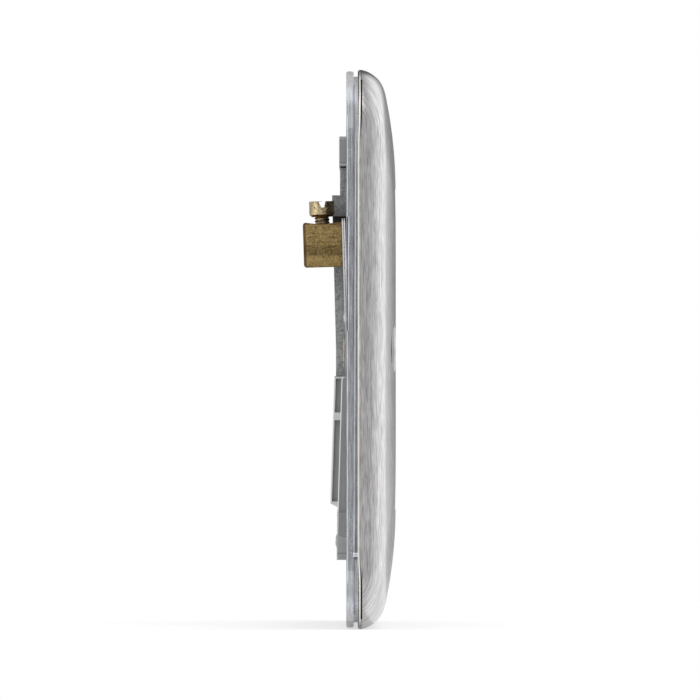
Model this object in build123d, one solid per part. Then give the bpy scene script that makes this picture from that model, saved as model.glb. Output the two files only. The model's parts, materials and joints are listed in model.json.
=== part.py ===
from build123d import *
import os
from math import asin, cos, radians, sin, sqrt, tan

# Single gang face plate for two wiring modules, with its earth terminal.
# Millimetres. +Z is up, +X is to the right seen from the front, the front faces -Y.
# The origin is the centre of the wall plane, where the gasket's rear face lies.

# Face plate, one pressed steel sheet
plate_side = 86.0
plate_corner = 8.0
corner_growth = 0.25
sheet = 0.8
rim_y = -1.78
skirt_height = 0.442
crown_radius = 68.0
flat_inset = 18.5
shoulder_radius = 4.6
shoulder_draft = 9.1
shoulder_steps = 4
crown_steps = 10
rim_round = 0.38
rim_flare = 0.28
slit_height = 0.26
slit_depth = 0.42
slit_above_rim = 0.42
slit_reach = 10.5
slit_setback = 1.6

# Module aperture and the fixing holes on their standard centres
aperture = 50.0
aperture_corner = 0.5
fixing_centres = 60.3
fixing_hole = 3.9
countersink = 7.2
countersink_depth = 1.65
dimple_land = 0.55

# Gasket, a clear moulding between the plate's rim and the wall
gasket_setback = 0.25
gasket_flange = 1.15
gasket_play = 1.35
gasket_edge = 0.2
spigot_height = 1.5
spigot_wall = 1.25
spigot_play = 0.26
bulge_length = 7.2
bulge_height = 0.23
bulge_ramp = 1.1
bulge_margin = 0.5

# Module frame, one plastic moulding
frame_play = 0.15
frame_wall = 1.25
frame_seat = 0.05
dimple_play = 0.2
flange_half = 31.3
flange_corner = 3.0
flange_rear = -1.3
flange_thickness = 1.6
ledge_reach = 2.3
ledge_thickness = 1.8
ledge_depth = 2.4
clip_notch = 6.0
clip_pitch = 12.5
clip_notch_depth = 1.0
module_count = 2

# Upper and lower end blocks of the frame
upper_top = 32.8
upper_step = 28.25
upper_low = 23.8
upper_rear = 1.08
upper_inner_rear = 0.96
upper_half = 31.6
upper_chamfer = 0.45
upper_slot = 0.25
upper_slot_depth = 0.5
lower_low = -32.4
lower_half = 31.0
lower_rear = 1.4
pocket_wall = 0.9
pocket_count = 3
pocket_play = 0.2
rib_width = 1.2

# Side walls, clip wedges and cheeks of the frame
wall_high_rear = 2.2
wall_mid_rear = 1.58
wall_recess_top = 20.55
wall_recess_height = 1.0
wall_recess_depth = 0.8
wedge_top = -4.2
wedge_bottom = -23.7
wedge_top_rear = 1.84
wedge_bottom_rear = 2.47
wedge_depth = 0.9
wedge_skin = 0.28
wedge_width = 3.0
wedge_underside = 0.7
wedge_pocket = 0.8
wedge_edge = 0.12
wedge_rib = -10.3
cheek_width = 3.8
cheek_top_rear = 0.72
cheek_bottom = -30.0
cheek_bottom_rear = 1.49
cheek_round = 0.5
cheek_edge = 0.16
boss_radius = 1.35
boss_rear = 1.67
boss_z = -29.75
boss_half = 30.6

# Fixing pillars of the frame
pillar_diameter = 7.0
pillar_rib = 1.6

# Weld studs and push-on retainers that hold the frame to the plate
stud_diameter = 2.4
stud_play = 0.12
stud_centre_x = 19.8
stud_centre_z = 29.1
stud_end = 0.35
stud_boss = 4.8
stud_boss_gap = 0.35
retainer_diameter = 4.6
retainer_thickness = 0.35
retainer_play = 0.04
retainer_slots = 6
retainer_slot = 0.45
retainer_collar = 0.9

# Earth strap, terminal block and their eyelet
strap_thickness = 0.63
strap_width = 7.0
strap_corner = 1.2
strap_top = 20.2
strap_bend = 3.6
strap_tilt = 1.7
strap_rear = 0.22
eyelet_wall = 0.3
eyelet_play = 0.05
eyelet_flange = 5.7
eyelet_rim = 0.2
block_depth = 6.0
block_height = 6.9
block_width = 6.4
block_round = 0.45
block_dish = 0.25
block_dish_width = 4.9
block_below_top = 0.54
block_spigot = 3.0
block_head = 4.2
block_head_thickness = 0.3
block_play = 0.03
wire_bore = 3.0
wire_bore_depth = 4.9
wire_bore_rise = -0.75
screw_diameter = 2.4
screw_play = 0.05
screw_gap = 0.85
screw_head = 3.87
screw_head_height = 2.4
screw_head_chamfer = 0.35
screw_slot_top = 1.07
screw_slot_floor = 0.45
screw_slot_depth = 0.95
screw_slot_lean = 4.3
screw_slot_offset = 0.14
screw_notch_rear = 0.22
screw_notch_tip = 0.13
screw_notch_front = 1.02
screw_notch_depth = 0.75
screw_tip_play = 0.1
screw_point = 0.3

# Values that follow from the sizes above
plate_half = plate_side / 2
eyelet_outer = fixing_hole + 2 * eyelet_wall
fixing_x = fixing_centres / 2
frame_inner = aperture / 2 + frame_play
frame_outer = frame_inner + frame_wall
cut_margin = 1.0


def level(y):
    """Plane across the plate at depth y: its own axes are X and Z, its normal is -Y."""
    return Plane(origin=(0, y, 0), x_dir=(1, 0, 0), z_dir=(0, -1, 0))


def slab(outline, rear, front):
    """Outline in X and Z, made solid from its rear depth to its front depth."""
    return extrude(level(rear) * outline, amount=rear - front)


def block(x0, x1, rear, front, z0, z1):
    """Straight block between two depths."""
    return slab(Pos((x0 + x1) / 2, (z0 + z1) / 2) * Rectangle(x1 - x0, z1 - z0), rear, front)


def drum(x, z, diameter, rear, front):
    """Round block along Y."""
    return slab(Pos(x, z) * Circle(diameter / 2), rear, front)


def side_profile(points, x0, x1):
    """Outline given as (z, y) pairs, made solid from x0 to x1."""
    outline = make_face(Polyline([(x0, y, z) for z, y in points], close=True))
    return extrude(outline, amount=x1 - x0, dir=(1, 0, 0))


def both_sides(shape):
    """The shape and its mirror image across the middle plane."""
    return [shape, mirror(shape, about=Plane.YZ)]


# Face plate
start_turn = radians(shoulder_draft)
shoulder_inset = shoulder_radius * cos(start_turn)
shoulder_to_crown = crown_radius - shoulder_radius
lean = asin((flat_inset - shoulder_inset) / shoulder_to_crown)
shoulder_depth = skirt_height - shoulder_radius * sin(start_turn)
crown_height = shoulder_depth + crown_radius - shoulder_to_crown * cos(lean)
crown_y = rim_y - crown_height
end_turn = radians(90) - lean


def dome_section(turn, radius, inset_centre, depth_centre, offset):
    """Rounded square where the dome's normal is turned by the given angle from level."""
    outer_inset = inset_centre - radius * cos(turn)
    inset = outer_inset + offset * cos(turn)
    depth = depth_centre + (radius - offset) * sin(turn)
    corner = plate_corner + corner_growth * outer_inset - offset * cos(turn)
    side = plate_side - 2 * inset
    return level(rim_y - depth) * RectangleRounded(side, side, corner)


def dome(offset):
    """Crowned form of the plate, its skin moved inwards by the offset, down to its skirt."""
    sections = []
    for i in range(shoulder_steps + 1):
        turn = start_turn + (end_turn - start_turn) * i / shoulder_steps
        sections.append(dome_section(turn, shoulder_radius, shoulder_inset, shoulder_depth, offset))
    crown_centre = crown_height - crown_radius
    for i in range(1, crown_steps + 1):
        turn = end_turn + (radians(90) - end_turn) * i / crown_steps
        sections.append(dome_section(turn, crown_radius, flat_inset, crown_centre, offset))
    return loft(sections)


def skirt_top(offset):
    """Depth where the skirt meets the dome, for a skin moved inwards by the offset."""
    return rim_y - shoulder_depth - (shoulder_radius - offset) * sin(start_turn)


def skirt_outline(offset):
    """Outline of the skirt for a skin moved inwards by the offset."""
    inset = offset * cos(start_turn)
    side = plate_side - 2 * inset
    return RectangleRounded(side, side, plate_corner - inset)


def plate_skin():
    """Outer form of the plate, with its rim rolled over."""
    skirt = slab(skirt_outline(0), rim_y, skirt_top(0))
    return dome(0) + fillet(skirt.faces().sort_by(Axis.Y)[-1].edges(), rim_round)


def plate_hollow():
    """Inner form of the plate, opening a little at the rim."""
    mouth = extrude(level(rim_y) * skirt_outline(sheet - rim_flare), amount=rim_flare, taper=45)
    return dome(sheet) + slab(skirt_outline(sheet), rim_y, skirt_top(sheet)) + mouth


def corner_slit():
    """Narrow slits near the corners of both sides, just above the rolled edge of the rim."""
    outer = plate_side + cut_margin
    inner = plate_side - 2 * slit_depth
    ring = RectangleRounded(outer, outer, plate_corner) - RectangleRounded(inner, inner, plate_corner - slit_depth)
    rear = rim_y - slit_above_rim
    front = rear - slit_height
    low = plate_half - slit_reach
    upper = both_sides(
        slab(ring, rear, front) & block(low, plate_half + cut_margin, rear, front, low, plate_half - slit_setback)
    )
    return upper + [mirror(slit, about=Plane.XY) for slit in upper]


def skin_depth(inset):
    """Depth of the plate's front skin at a distance in from its edge, on the crown."""
    return rim_y - (crown_height - crown_radius + sqrt(crown_radius**2 - (flat_inset - inset) ** 2))


dimple_front = skin_depth(plate_half - fixing_x)
dimple_floor = dimple_front + countersink_depth
dimple_rear = dimple_floor + dimple_land


def dimple(x):
    """Pressed seat of a countersunk fixing screw: the solid cone behind the skin."""
    wide = countersink / 2 + sheet
    narrow = fixing_hole / 2 + sheet
    outline = Polyline(
        (0, dimple_front + sheet / 2),
        (wide, dimple_front + sheet / 2),
        (narrow, dimple_floor + sheet / 2),
        (narrow, dimple_rear),
        (0, dimple_rear),
        close=True,
    )
    return Pos(x, 0, 0) * revolve(make_face(outline), axis=Axis.Y)


def countersunk_hole(x):
    """What the screw takes out of the plate."""
    mouth = countersink / 2 + cut_margin
    outline = Polyline(
        (0, dimple_front - cut_margin),
        (mouth, dimple_front - cut_margin),
        (fixing_hole / 2, dimple_floor),
        (fixing_hole / 2, dimple_rear + cut_margin),
        (0, dimple_rear + cut_margin),
        close=True,
    )
    return Pos(x, 0, 0) * revolve(make_face(outline), axis=Axis.Y)


hollow = plate_hollow()
front_plate = plate_skin() - hollow
front_plate += [dimple(x) for x in (-fixing_x, fixing_x)]
front_plate -= [countersunk_hole(x) for x in (-fixing_x, fixing_x)]
front_plate -= slab(RectangleRounded(aperture, aperture, aperture_corner), rim_y, crown_y - cut_margin)
front_plate -= corner_slit()

# Gasket
gasket_half = plate_half - gasket_setback
gasket_side = 2 * gasket_half
gasket_corner = plate_corner - gasket_setback
opening_side = 2 * (upper_top + gasket_play)
spigot_side = plate_side - 2 * (sheet + spigot_play)
spigot_corner = plate_corner - sheet - spigot_play
spigot_inner = spigot_side - 2 * spigot_wall
opening = RectangleRounded(opening_side, opening_side, flange_corner)
gasket_body = slab(RectangleRounded(gasket_side, gasket_side, gasket_corner), 0, -gasket_flange)
gasket_body = chamfer(gasket_body.edges().filter_by(Plane.XZ), gasket_edge)
spigot = slab(
    RectangleRounded(spigot_side, spigot_side, spigot_corner)
    - RectangleRounded(spigot_inner, spigot_inner, spigot_corner - spigot_wall),
    -gasket_flange,
    -gasket_flange - spigot_height,
)
bulge_inner = opening_side / 2 + bulge_margin
bulge = side_profile(
    [
        (-bulge_length / 2 - bulge_ramp, 0),
        (-bulge_length / 2, bulge_height),
        (bulge_length / 2, bulge_height),
        (bulge_length / 2 + bulge_ramp, 0),
    ],
    bulge_inner,
    gasket_half - bulge_margin,
)
gasket = gasket_body + spigot + both_sides(bulge) - slab(opening, cut_margin, -gasket_flange - cut_margin)

# Module frame
seat_offset = sheet + frame_seat
seat_form = dome(seat_offset) + slab(skirt_outline(seat_offset), flange_rear, skirt_top(seat_offset))
tube = slab(
    Rectangle(2 * frame_outer, 2 * frame_outer) - Rectangle(2 * frame_inner, 2 * frame_inner),
    flange_rear,
    crown_y,
)
tube &= seat_form
for x in (-fixing_x, fixing_x):
    tube -= drum(x, 0, countersink + 2 * (sheet + dimple_play), dimple_rear, crown_y)
flange = slab(
    RectangleRounded(2 * flange_half, 2 * flange_half, flange_corner)
    - Rectangle(2 * frame_inner, 2 * frame_inner),
    flange_rear,
    flange_rear - flange_thickness,
)
frame = tube + flange


def end_pockets(half, z_outer):
    """Row of pockets in an end block, open to the rear, where the retainers sit."""
    low, high = sorted((z_outer - pocket_wall, frame_outer + pocket_play))
    width = (2 * half - 2 * pocket_wall - (pocket_count - 1) * rib_width) / pocket_count
    pitch = width + rib_width
    middle = (pocket_count - 1) / 2
    return [
        block(
            (i - middle) * pitch - width / 2,
            (i - middle) * pitch + width / 2,
            wall_high_rear,
            flange_rear,
            low,
            high,
        )
        for i in range(pocket_count)
    ]


def wall_profile():
    """Rear outline of one side wall, high beside the terminal and lower at the clip."""
    return [
        (-frame_outer, flange_rear),
        (-frame_outer, cheek_top_rear),
        (wedge_top, wall_mid_rear),
        (0, wall_mid_rear),
        (upper_low, wall_high_rear),
        (upper_low, flange_rear),
    ]


def wedge():
    """Clip wedge with two cored pockets and the rib between them."""
    slope = (wedge_bottom_rear - wedge_top_rear) / (wedge_top - wedge_bottom)

    def rear_at(z):
        return wedge_top_rear + slope * (wedge_top - z)

    outer = side_profile(
        [
            (wedge_top, flange_rear),
            (wedge_top, wedge_top_rear),
            (wedge_bottom, wedge_bottom_rear),
            (wedge_bottom - wedge_underside, cheek_bottom_rear - wedge_skin),
            (wedge_bottom - wedge_underside, flange_rear),
        ],
        frame_outer,
        frame_outer + wedge_width,
    )
    outer = chamfer(outer.faces().sort_by(Axis.X)[-1].edges(), wedge_edge)
    for high, low in (
        (wedge_top - wedge_skin, wedge_rib + rib_width / 2),
        (wedge_rib - rib_width / 2, wedge_bottom + wedge_skin),
    ):
        outer -= side_profile(
            [
                (high, rear_at(high) - wedge_skin - wedge_depth),
                (high, rear_at(high) - wedge_skin),
                (low, rear_at(low) - wedge_skin),
                (low, rear_at(low) - wedge_skin - wedge_depth),
            ],
            frame_outer + wedge_width - wedge_pocket,
            frame_outer + wedge_width + cut_margin,
        )
    return outer


def cheek():
    """Flat cheek outside the wedge, its rear edge rising towards the lower end."""
    plate = side_profile(
        [
            (wedge_top, flange_rear),
            (wedge_top, cheek_top_rear),
            (cheek_bottom, cheek_bottom_rear),
            (lower_low, cheek_bottom_rear),
            (lower_low, flange_rear),
        ],
        frame_outer + wedge_width,
        frame_outer + cheek_width,
    )
    corner = plate.edges().filter_by(Axis.X).group_by(Axis.Z)[-1].sort_by(Axis.Y)[-1]
    plate = fillet(corner, cheek_round)
    return chamfer(plate.faces().sort_by(Axis.X)[-1].edges(), cheek_edge)


def round_boss():
    """Rounded boss at the foot of the cheek."""
    solid = Pos(frame_outer, boss_rear - boss_radius, boss_z) * Rot(0, 90, 0) * Cylinder(
        boss_radius, boss_half - frame_outer, align=(Align.CENTER, Align.CENTER, Align.MIN)
    )
    return solid


def outside(depth, z0, z1):
    """What a groove of that depth takes out of the outer face of the right side wall."""
    return block(frame_outer - depth, upper_half + cut_margin, wall_high_rear + cut_margin, flange_rear, z0, z1)


upper_outline = Pos(0, (upper_top + upper_step) / 2) * Rectangle(2 * upper_half, upper_top - upper_step)
frame += slab(chamfer(upper_outline.vertices(), upper_chamfer), upper_rear, flange_rear)
frame += block(-frame_outer, frame_outer, upper_inner_rear, flange_rear, upper_low, upper_step)
frame += block(-lower_half, lower_half, lower_rear, flange_rear, lower_low, -frame_inner)
frame -= block(-frame_inner, frame_inner, cut_margin, flange_rear, -frame_inner, frame_inner)
frame -= end_pockets(frame_outer, upper_top)
frame -= [mirror(pocket, about=Plane.XY) for pocket in end_pockets(lower_half, -lower_low)]
frame += both_sides(side_profile(wall_profile(), frame_inner, frame_outer))
frame -= both_sides(outside(upper_slot_depth, upper_step - upper_slot, upper_step))
frame -= both_sides(outside(wall_recess_depth, wall_recess_top - wall_recess_height, wall_recess_top))
frame += both_sides(wedge())
frame += both_sides(cheek())
frame += both_sides(round_boss())

# Ledges that the modules clip behind, above and below the aperture
ledge_front = crown_y + sheet + ledge_depth
for side in (-1, 1):
    low, high = sorted((side * frame_inner, side * (frame_inner - ledge_reach)))
    frame += block(-frame_inner, frame_inner, ledge_front + ledge_thickness, ledge_front, low, high)
    tip_low, tip_high = sorted(
        (side * (frame_inner - ledge_reach), side * (frame_inner - ledge_reach + clip_notch_depth))
    )
    for i in range(2 * module_count):
        x = (i - module_count + 0.5) * clip_pitch
        frame -= block(
            x - clip_notch / 2,
            x + clip_notch / 2,
            ledge_front + ledge_thickness,
            ledge_front,
            tip_low,
            tip_high,
        )

# Fixing pillars: the strap's eye lies on the left one
pillar_rears = {-fixing_x: strap_rear - strap_thickness, fixing_x: strap_rear}
for x, rear in pillar_rears.items():
    frame += drum(x, 0, pillar_diameter, rear, dimple_rear)
    inner_x = frame_outer if x > 0 else -fixing_x
    outer_x = fixing_x if x > 0 else -frame_outer
    frame += block(inner_x, outer_x, flange_rear, dimple_rear, -pillar_rib / 2, pillar_rib / 2)
frame -= drum(-fixing_x, 0, eyelet_outer + 2 * eyelet_play, cut_margin, dimple_rear - cut_margin)
frame -= drum(fixing_x, 0, fixing_hole, cut_margin, dimple_rear - cut_margin)

# Bosses that stand on the plate round its studs
stud_places = [(sx * stud_centre_x, sz * stud_centre_z) for sx in (-1, 1) for sz in (-1, 1)]
boss_front = skin_depth(plate_half - stud_centre_z - stud_boss / 2) + sheet + stud_boss_gap
for x, z in stud_places:
    frame += drum(x, z, stud_boss, flange_rear, boss_front)
for x, z in stud_places:
    frame -= drum(x, z, stud_diameter + 2 * stud_play, cut_margin, boss_front - cut_margin)
module_frame = frame

# Weld studs, their ends shaped to the skin that they are welded to
studs = []
for x, z in stud_places:
    studs += [drum(x, z, stud_diameter, rim_y, crown_y) & hollow]
    studs[-1] = (studs[-1] + drum(x, z, stud_diameter, stud_end, rim_y)).solid()
plate_studs = Compound(studs)


def retainer(x, z):
    """Push-on spring washer: a disc with a raised collar cut into tongues."""
    bore = stud_diameter + 2 * retainer_play
    front = flange_rear
    rear = front + retainer_thickness
    washer = drum(x, z, retainer_diameter, rear, front)
    washer += drum(x, z, bore + 2 * retainer_thickness, front + retainer_collar, front)
    for i in range(retainer_slots):
        arm = Pos(bore / 2, 0) * Rectangle(4 * retainer_slot, retainer_slot)
        turned = Rot(0, 0, 360 / retainer_slots * i) * arm
        washer -= slab(Pos(x, z) * turned, front + retainer_collar + cut_margin, rear)
    return washer - drum(x, z, bore, front + retainer_collar + cut_margin, front - cut_margin)


stud_retainers = Compound([retainer(x, z).solid() for x, z in stud_places])

# Earth strap: a flat eye round the fixing hole and a tongue that leans to the rear
lean_back = Pos(-fixing_x, strap_rear, strap_bend) * Rot(-strap_tilt, 0, 0)
tongue_length = (strap_top - strap_bend) / cos(radians(strap_tilt))


def on_strap(x, out, up, shape):
    """Place a shape on the leaning tongue: x across, out from its rear face, up from the bend."""
    return lean_back * Pos(x, out, up) * shape


eye = drum(-fixing_x, 0, strap_width, strap_rear, strap_rear - strap_thickness)
slope = tan(radians(strap_tilt))
inner_bend = strap_bend + strap_thickness * tan(radians(strap_tilt / 2))
tongue = side_profile(
    [
        (0, strap_rear - strap_thickness),
        (0, strap_rear),
        (strap_bend, strap_rear),
        (strap_top, strap_rear + (strap_top - strap_bend) * slope),
        (strap_top + strap_thickness * slope, strap_rear - strap_thickness + (strap_top - inner_bend) * slope),
        (inner_bend, strap_rear - strap_thickness),
    ],
    -fixing_x - strap_width / 2,
    -fixing_x + strap_width / 2,
)
tongue = fillet(tongue.faces().sort_by(Axis.Z)[-1].edges().filter_by(Axis.X, reverse=True), strap_corner)
block_up = tongue_length - block_below_top - block_height / 2
spigot_hole = on_strap(
    0,
    -strap_thickness / 2,
    block_up,
    Rot(90, 0, 0) * Cylinder(block_spigot / 2 + block_play, strap_thickness + cut_margin),
)
earth_strap = eye + tongue - spigot_hole
earth_strap -= drum(-fixing_x, 0, eyelet_outer + 2 * eyelet_play, cut_margin, -cut_margin)

# Eyelet that joins the strap to the plate round the left fixing hole
earth_eyelet = drum(-fixing_x, 0, eyelet_outer, strap_rear + eyelet_rim, dimple_rear)
earth_eyelet += drum(-fixing_x, 0, eyelet_flange, strap_rear + eyelet_rim, strap_rear)
rim_circle = earth_eyelet.edges().filter_by_position(
    Axis.Y, strap_rear + eyelet_rim - 0.001, strap_rear + eyelet_rim + 0.001
)
earth_eyelet = fillet(rim_circle, eyelet_rim * 0.9)
earth_eyelet -= drum(-fixing_x, 0, fixing_hole, cut_margin, dimple_rear - cut_margin)

# Terminal block, its spigot riveted through the strap
body = Box(block_width, block_depth, block_height)
body = fillet(body.edges().filter_by(Axis.X), block_round)
terminal = on_strap(0, block_depth / 2, block_up, body)
terminal += on_strap(
    0,
    -(strap_thickness + block_head_thickness) / 2,
    block_up,
    Rot(90, 0, 0) * Cylinder(block_spigot / 2, strap_thickness + block_head_thickness),
)
terminal += on_strap(
    0,
    -strap_thickness - block_head_thickness / 2 - block_play,
    block_up,
    Rot(90, 0, 0) * Cylinder(block_head / 2, block_head_thickness),
)
bore_up = block_up + wire_bore_rise
terminal -= on_strap(
    0,
    block_depth - wire_bore_depth / 2 + cut_margin / 2,
    bore_up,
    Rot(90, 0, 0) * Cylinder(wire_bore / 2, wire_bore_depth + cut_margin),
)
block_top = block_up + block_height / 2
terminal -= on_strap(
    0,
    block_depth / 2,
    (bore_up + block_top + cut_margin) / 2,
    Cylinder(screw_diameter / 2 + screw_play, block_top + cut_margin - bore_up),
)
dish_radius = (block_dish_width**2 / 4 + block_dish**2) / (2 * block_dish)
earth_terminal_block = terminal - on_strap(
    0,
    block_depth / 2,
    block_top - block_dish + dish_radius,
    Rot(0, 90, 0) * Cylinder(dish_radius, block_width + cut_margin),
)

# Terminal screw, slotted, standing a little proud of the block
head_up = block_top + screw_gap
tip_up = bore_up + wire_bore / 2 + screw_tip_play
shank = Cylinder(screw_diameter / 2, head_up - tip_up, align=(Align.CENTER, Align.CENTER, Align.MIN))
shank = chamfer(shank.edges().filter_by(GeomType.CIRCLE).sort_by(Axis.Z)[0], screw_point)
head = Cylinder(screw_head / 2, screw_head_height, align=(Align.CENTER, Align.CENTER, Align.MIN))
head = chamfer(head.edges().filter_by(GeomType.CIRCLE).sort_by(Axis.Z)[0], screw_head_chamfer)
slot_outline = Polyline(
    (-screw_slot_floor / 2, 0),
    (screw_slot_floor / 2, 0),
    (screw_slot_top / 2, screw_slot_depth),
    (-screw_slot_top / 2, screw_slot_depth),
    close=True,
)
slot = Rot(-screw_slot_lean, 0, 0) * extrude(Plane.YZ * make_face(slot_outline), amount=screw_head, both=True)
notch_outline = Polyline(
    (screw_notch_rear, 0),
    (-screw_notch_tip, -screw_notch_depth),
    (-screw_notch_front, 0),
    (0, screw_slot_depth / 2),
    close=True,
)
notch = extrude(Plane.YZ * make_face(notch_outline), amount=-screw_head)
head -= Pos(0, -screw_slot_offset, screw_head_height - screw_slot_depth) * (slot + notch)
earth_terminal_screw = on_strap(0, block_depth / 2, tip_up, shank) + on_strap(0, block_depth / 2, head_up, head)

nodes = {
    "front_plate": front_plate,
    "gasket": gasket,
    "module_frame": module_frame,
    "plate_studs": plate_studs,
    "stud_retainers": stud_retainers,
    "earth_strap": earth_strap,
    "earth_eyelet": earth_eyelet,
    "earth_terminal_block": earth_terminal_block,
    "earth_terminal_screw": earth_terminal_screw,
}

os.makedirs("parts", exist_ok=True)
for name, shape in nodes.items():
    export_step(shape, f"parts/{name}.step")
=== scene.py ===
import json
import logging
import math
from dataclasses import dataclass, field
from enum import Enum
from typing import ClassVar

import bmesh
import bpy
from mathutils import Matrix, Vector


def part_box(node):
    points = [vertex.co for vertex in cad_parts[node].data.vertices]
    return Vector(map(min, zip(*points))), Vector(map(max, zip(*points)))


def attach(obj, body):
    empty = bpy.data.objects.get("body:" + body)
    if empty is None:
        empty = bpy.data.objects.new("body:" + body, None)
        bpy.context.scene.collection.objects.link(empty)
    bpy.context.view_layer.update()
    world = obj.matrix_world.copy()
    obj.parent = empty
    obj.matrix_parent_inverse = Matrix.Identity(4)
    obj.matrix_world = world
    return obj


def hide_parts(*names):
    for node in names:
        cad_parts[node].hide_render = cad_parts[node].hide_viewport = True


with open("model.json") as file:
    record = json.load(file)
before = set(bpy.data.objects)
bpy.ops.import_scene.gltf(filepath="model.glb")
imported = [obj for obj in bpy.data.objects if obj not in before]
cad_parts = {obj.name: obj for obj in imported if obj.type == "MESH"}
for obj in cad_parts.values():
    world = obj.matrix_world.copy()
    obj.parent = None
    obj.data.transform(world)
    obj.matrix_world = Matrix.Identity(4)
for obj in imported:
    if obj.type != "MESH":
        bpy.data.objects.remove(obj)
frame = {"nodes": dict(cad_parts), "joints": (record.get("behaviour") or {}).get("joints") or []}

# Single gang face plate for two wiring modules, with its earth terminal, in metres. +Z is up,
# the front faces -Y, and the origin is the centre of the wall plane. Heights and depths given
# in millimetres are those of the finishes' marks.

log = logging.getLogger("face_plate")
MM = 0.001
NEAR = 0.01 * MM  # within which two heights or radii on the screw count as the same
Colour = tuple[float, float, float]
Value = "Sock | float | Colour"


def linear(red: int, green: int, blue: int) -> Colour:
    """Turn a colour as seen on a screen into the linear one that the nodes take.

    Args:
        red: Red from 0 to 255.
        green: Green from 0 to 255.
        blue: Blue from 0 to 255.

    Returns:
        The same colour, linear, from 0 to 1.
    """
    def one(part: int) -> float:
        """Linear value of one channel."""
        share = part / 255
        return share / 12.92 if share <= 0.04045 else ((share + 0.055) / 1.055) ** 2.4

    return (one(red), one(green), one(blue))


class Sock:
    """An output socket whose arithmetic adds Math nodes to its tree."""

    def __init__(self, kit: "NodeKit", socket: bpy.types.NodeSocket) -> None:
        """Wrap a socket.

        Args:
            kit: The tree that the socket belongs to.
            socket: The output socket.
        """
        self.kit = kit
        self.socket = socket

    def math(self, operation: str, *values: "Sock | float", clamp: bool = False) -> "Sock":
        """Add a Math node on the given values.

        Args:
            operation: The Math node's operation.
            values: Its inputs, in order.
            clamp: Whether the result is kept from 0 to 1.

        Returns:
            The node's result.
        """
        settings = {"operation": operation, "use_clamp": clamp}
        return self.kit.node("ShaderNodeMath", settings, dict(enumerate(values)))

    def __add__(self, other: "Sock | float") -> "Sock":
        """Sum."""
        return self.math("ADD", self, other)

    __radd__ = __add__

    def __sub__(self, other: "Sock | float") -> "Sock":
        """Difference."""
        return self.math("SUBTRACT", self, other)

    def __rsub__(self, other: "Sock | float") -> "Sock":
        """Difference from a number."""
        return self.math("SUBTRACT", other, self)

    def __mul__(self, other: "Sock | float") -> "Sock":
        """Product."""
        return self.math("MULTIPLY", self, other)

    __rmul__ = __mul__

    def __truediv__(self, other: "Sock | float") -> "Sock":
        """Quotient."""
        return self.math("DIVIDE", self, other)

    def __rtruediv__(self, other: "Sock | float") -> "Sock":
        """Quotient of a number by the value."""
        return self.math("DIVIDE", other, self)

    def __abs__(self) -> "Sock":
        """Size without its sign."""
        return self.math("ABSOLUTE", self)

    def above(self, level: float) -> "Sock":
        """1 where the value is over the level, else 0."""
        return self.math("GREATER_THAN", self, level)

    def sine(self) -> "Sock":
        """Sine of the value."""
        return self.math("SINE", self)

    def root(self) -> "Sock":
        """Square root of the value."""
        return self.math("SQRT", self)

    def sign(self) -> "Sock":
        """1 over 0, -1 under it."""
        return self.math("SIGN", self)

    def angle(self, first: "Sock") -> "Sock":
        """Angle of the direction that has this as its second part, in radians."""
        return self.math("ARCTAN2", self, first)

    def at_least(self, level: float) -> "Sock":
        """The value, or the level where that is higher."""
        return self.math("MAXIMUM", self, level)

    def over(self, level: float) -> "Sock":
        """How far the value is over the level, else 0."""
        return (self - level).at_least(0.0)

    def clamped(self) -> "Sock":
        """The value kept from 0 to 1."""
        return self.math("ADD", self, 0.0, clamp=True)

    def rise(self, low: float, high: float) -> "Sock":
        """Smooth step that is 0 at low and 1 at high.

        Args:
            low: Where the step starts.
            high: Where the step ends, which may be under low.

        Returns:
            The step, from 0 to 1.
        """
        settings = {"interpolation_type": "SMOOTHSTEP"}
        return self.kit.node("ShaderNodeMapRange", settings, {0: self, 1: low, 2: high})

    def band(self, middle: float, half: float, soft: float) -> "Sock":
        """Soft band that is 1 at the middle.

        Args:
            middle: Where the band lies.
            half: Half its width.
            soft: How far its edges fade.

        Returns:
            The band, from 0 to 1.
        """
        return abs(self - middle).rise(half + soft, half)


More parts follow.
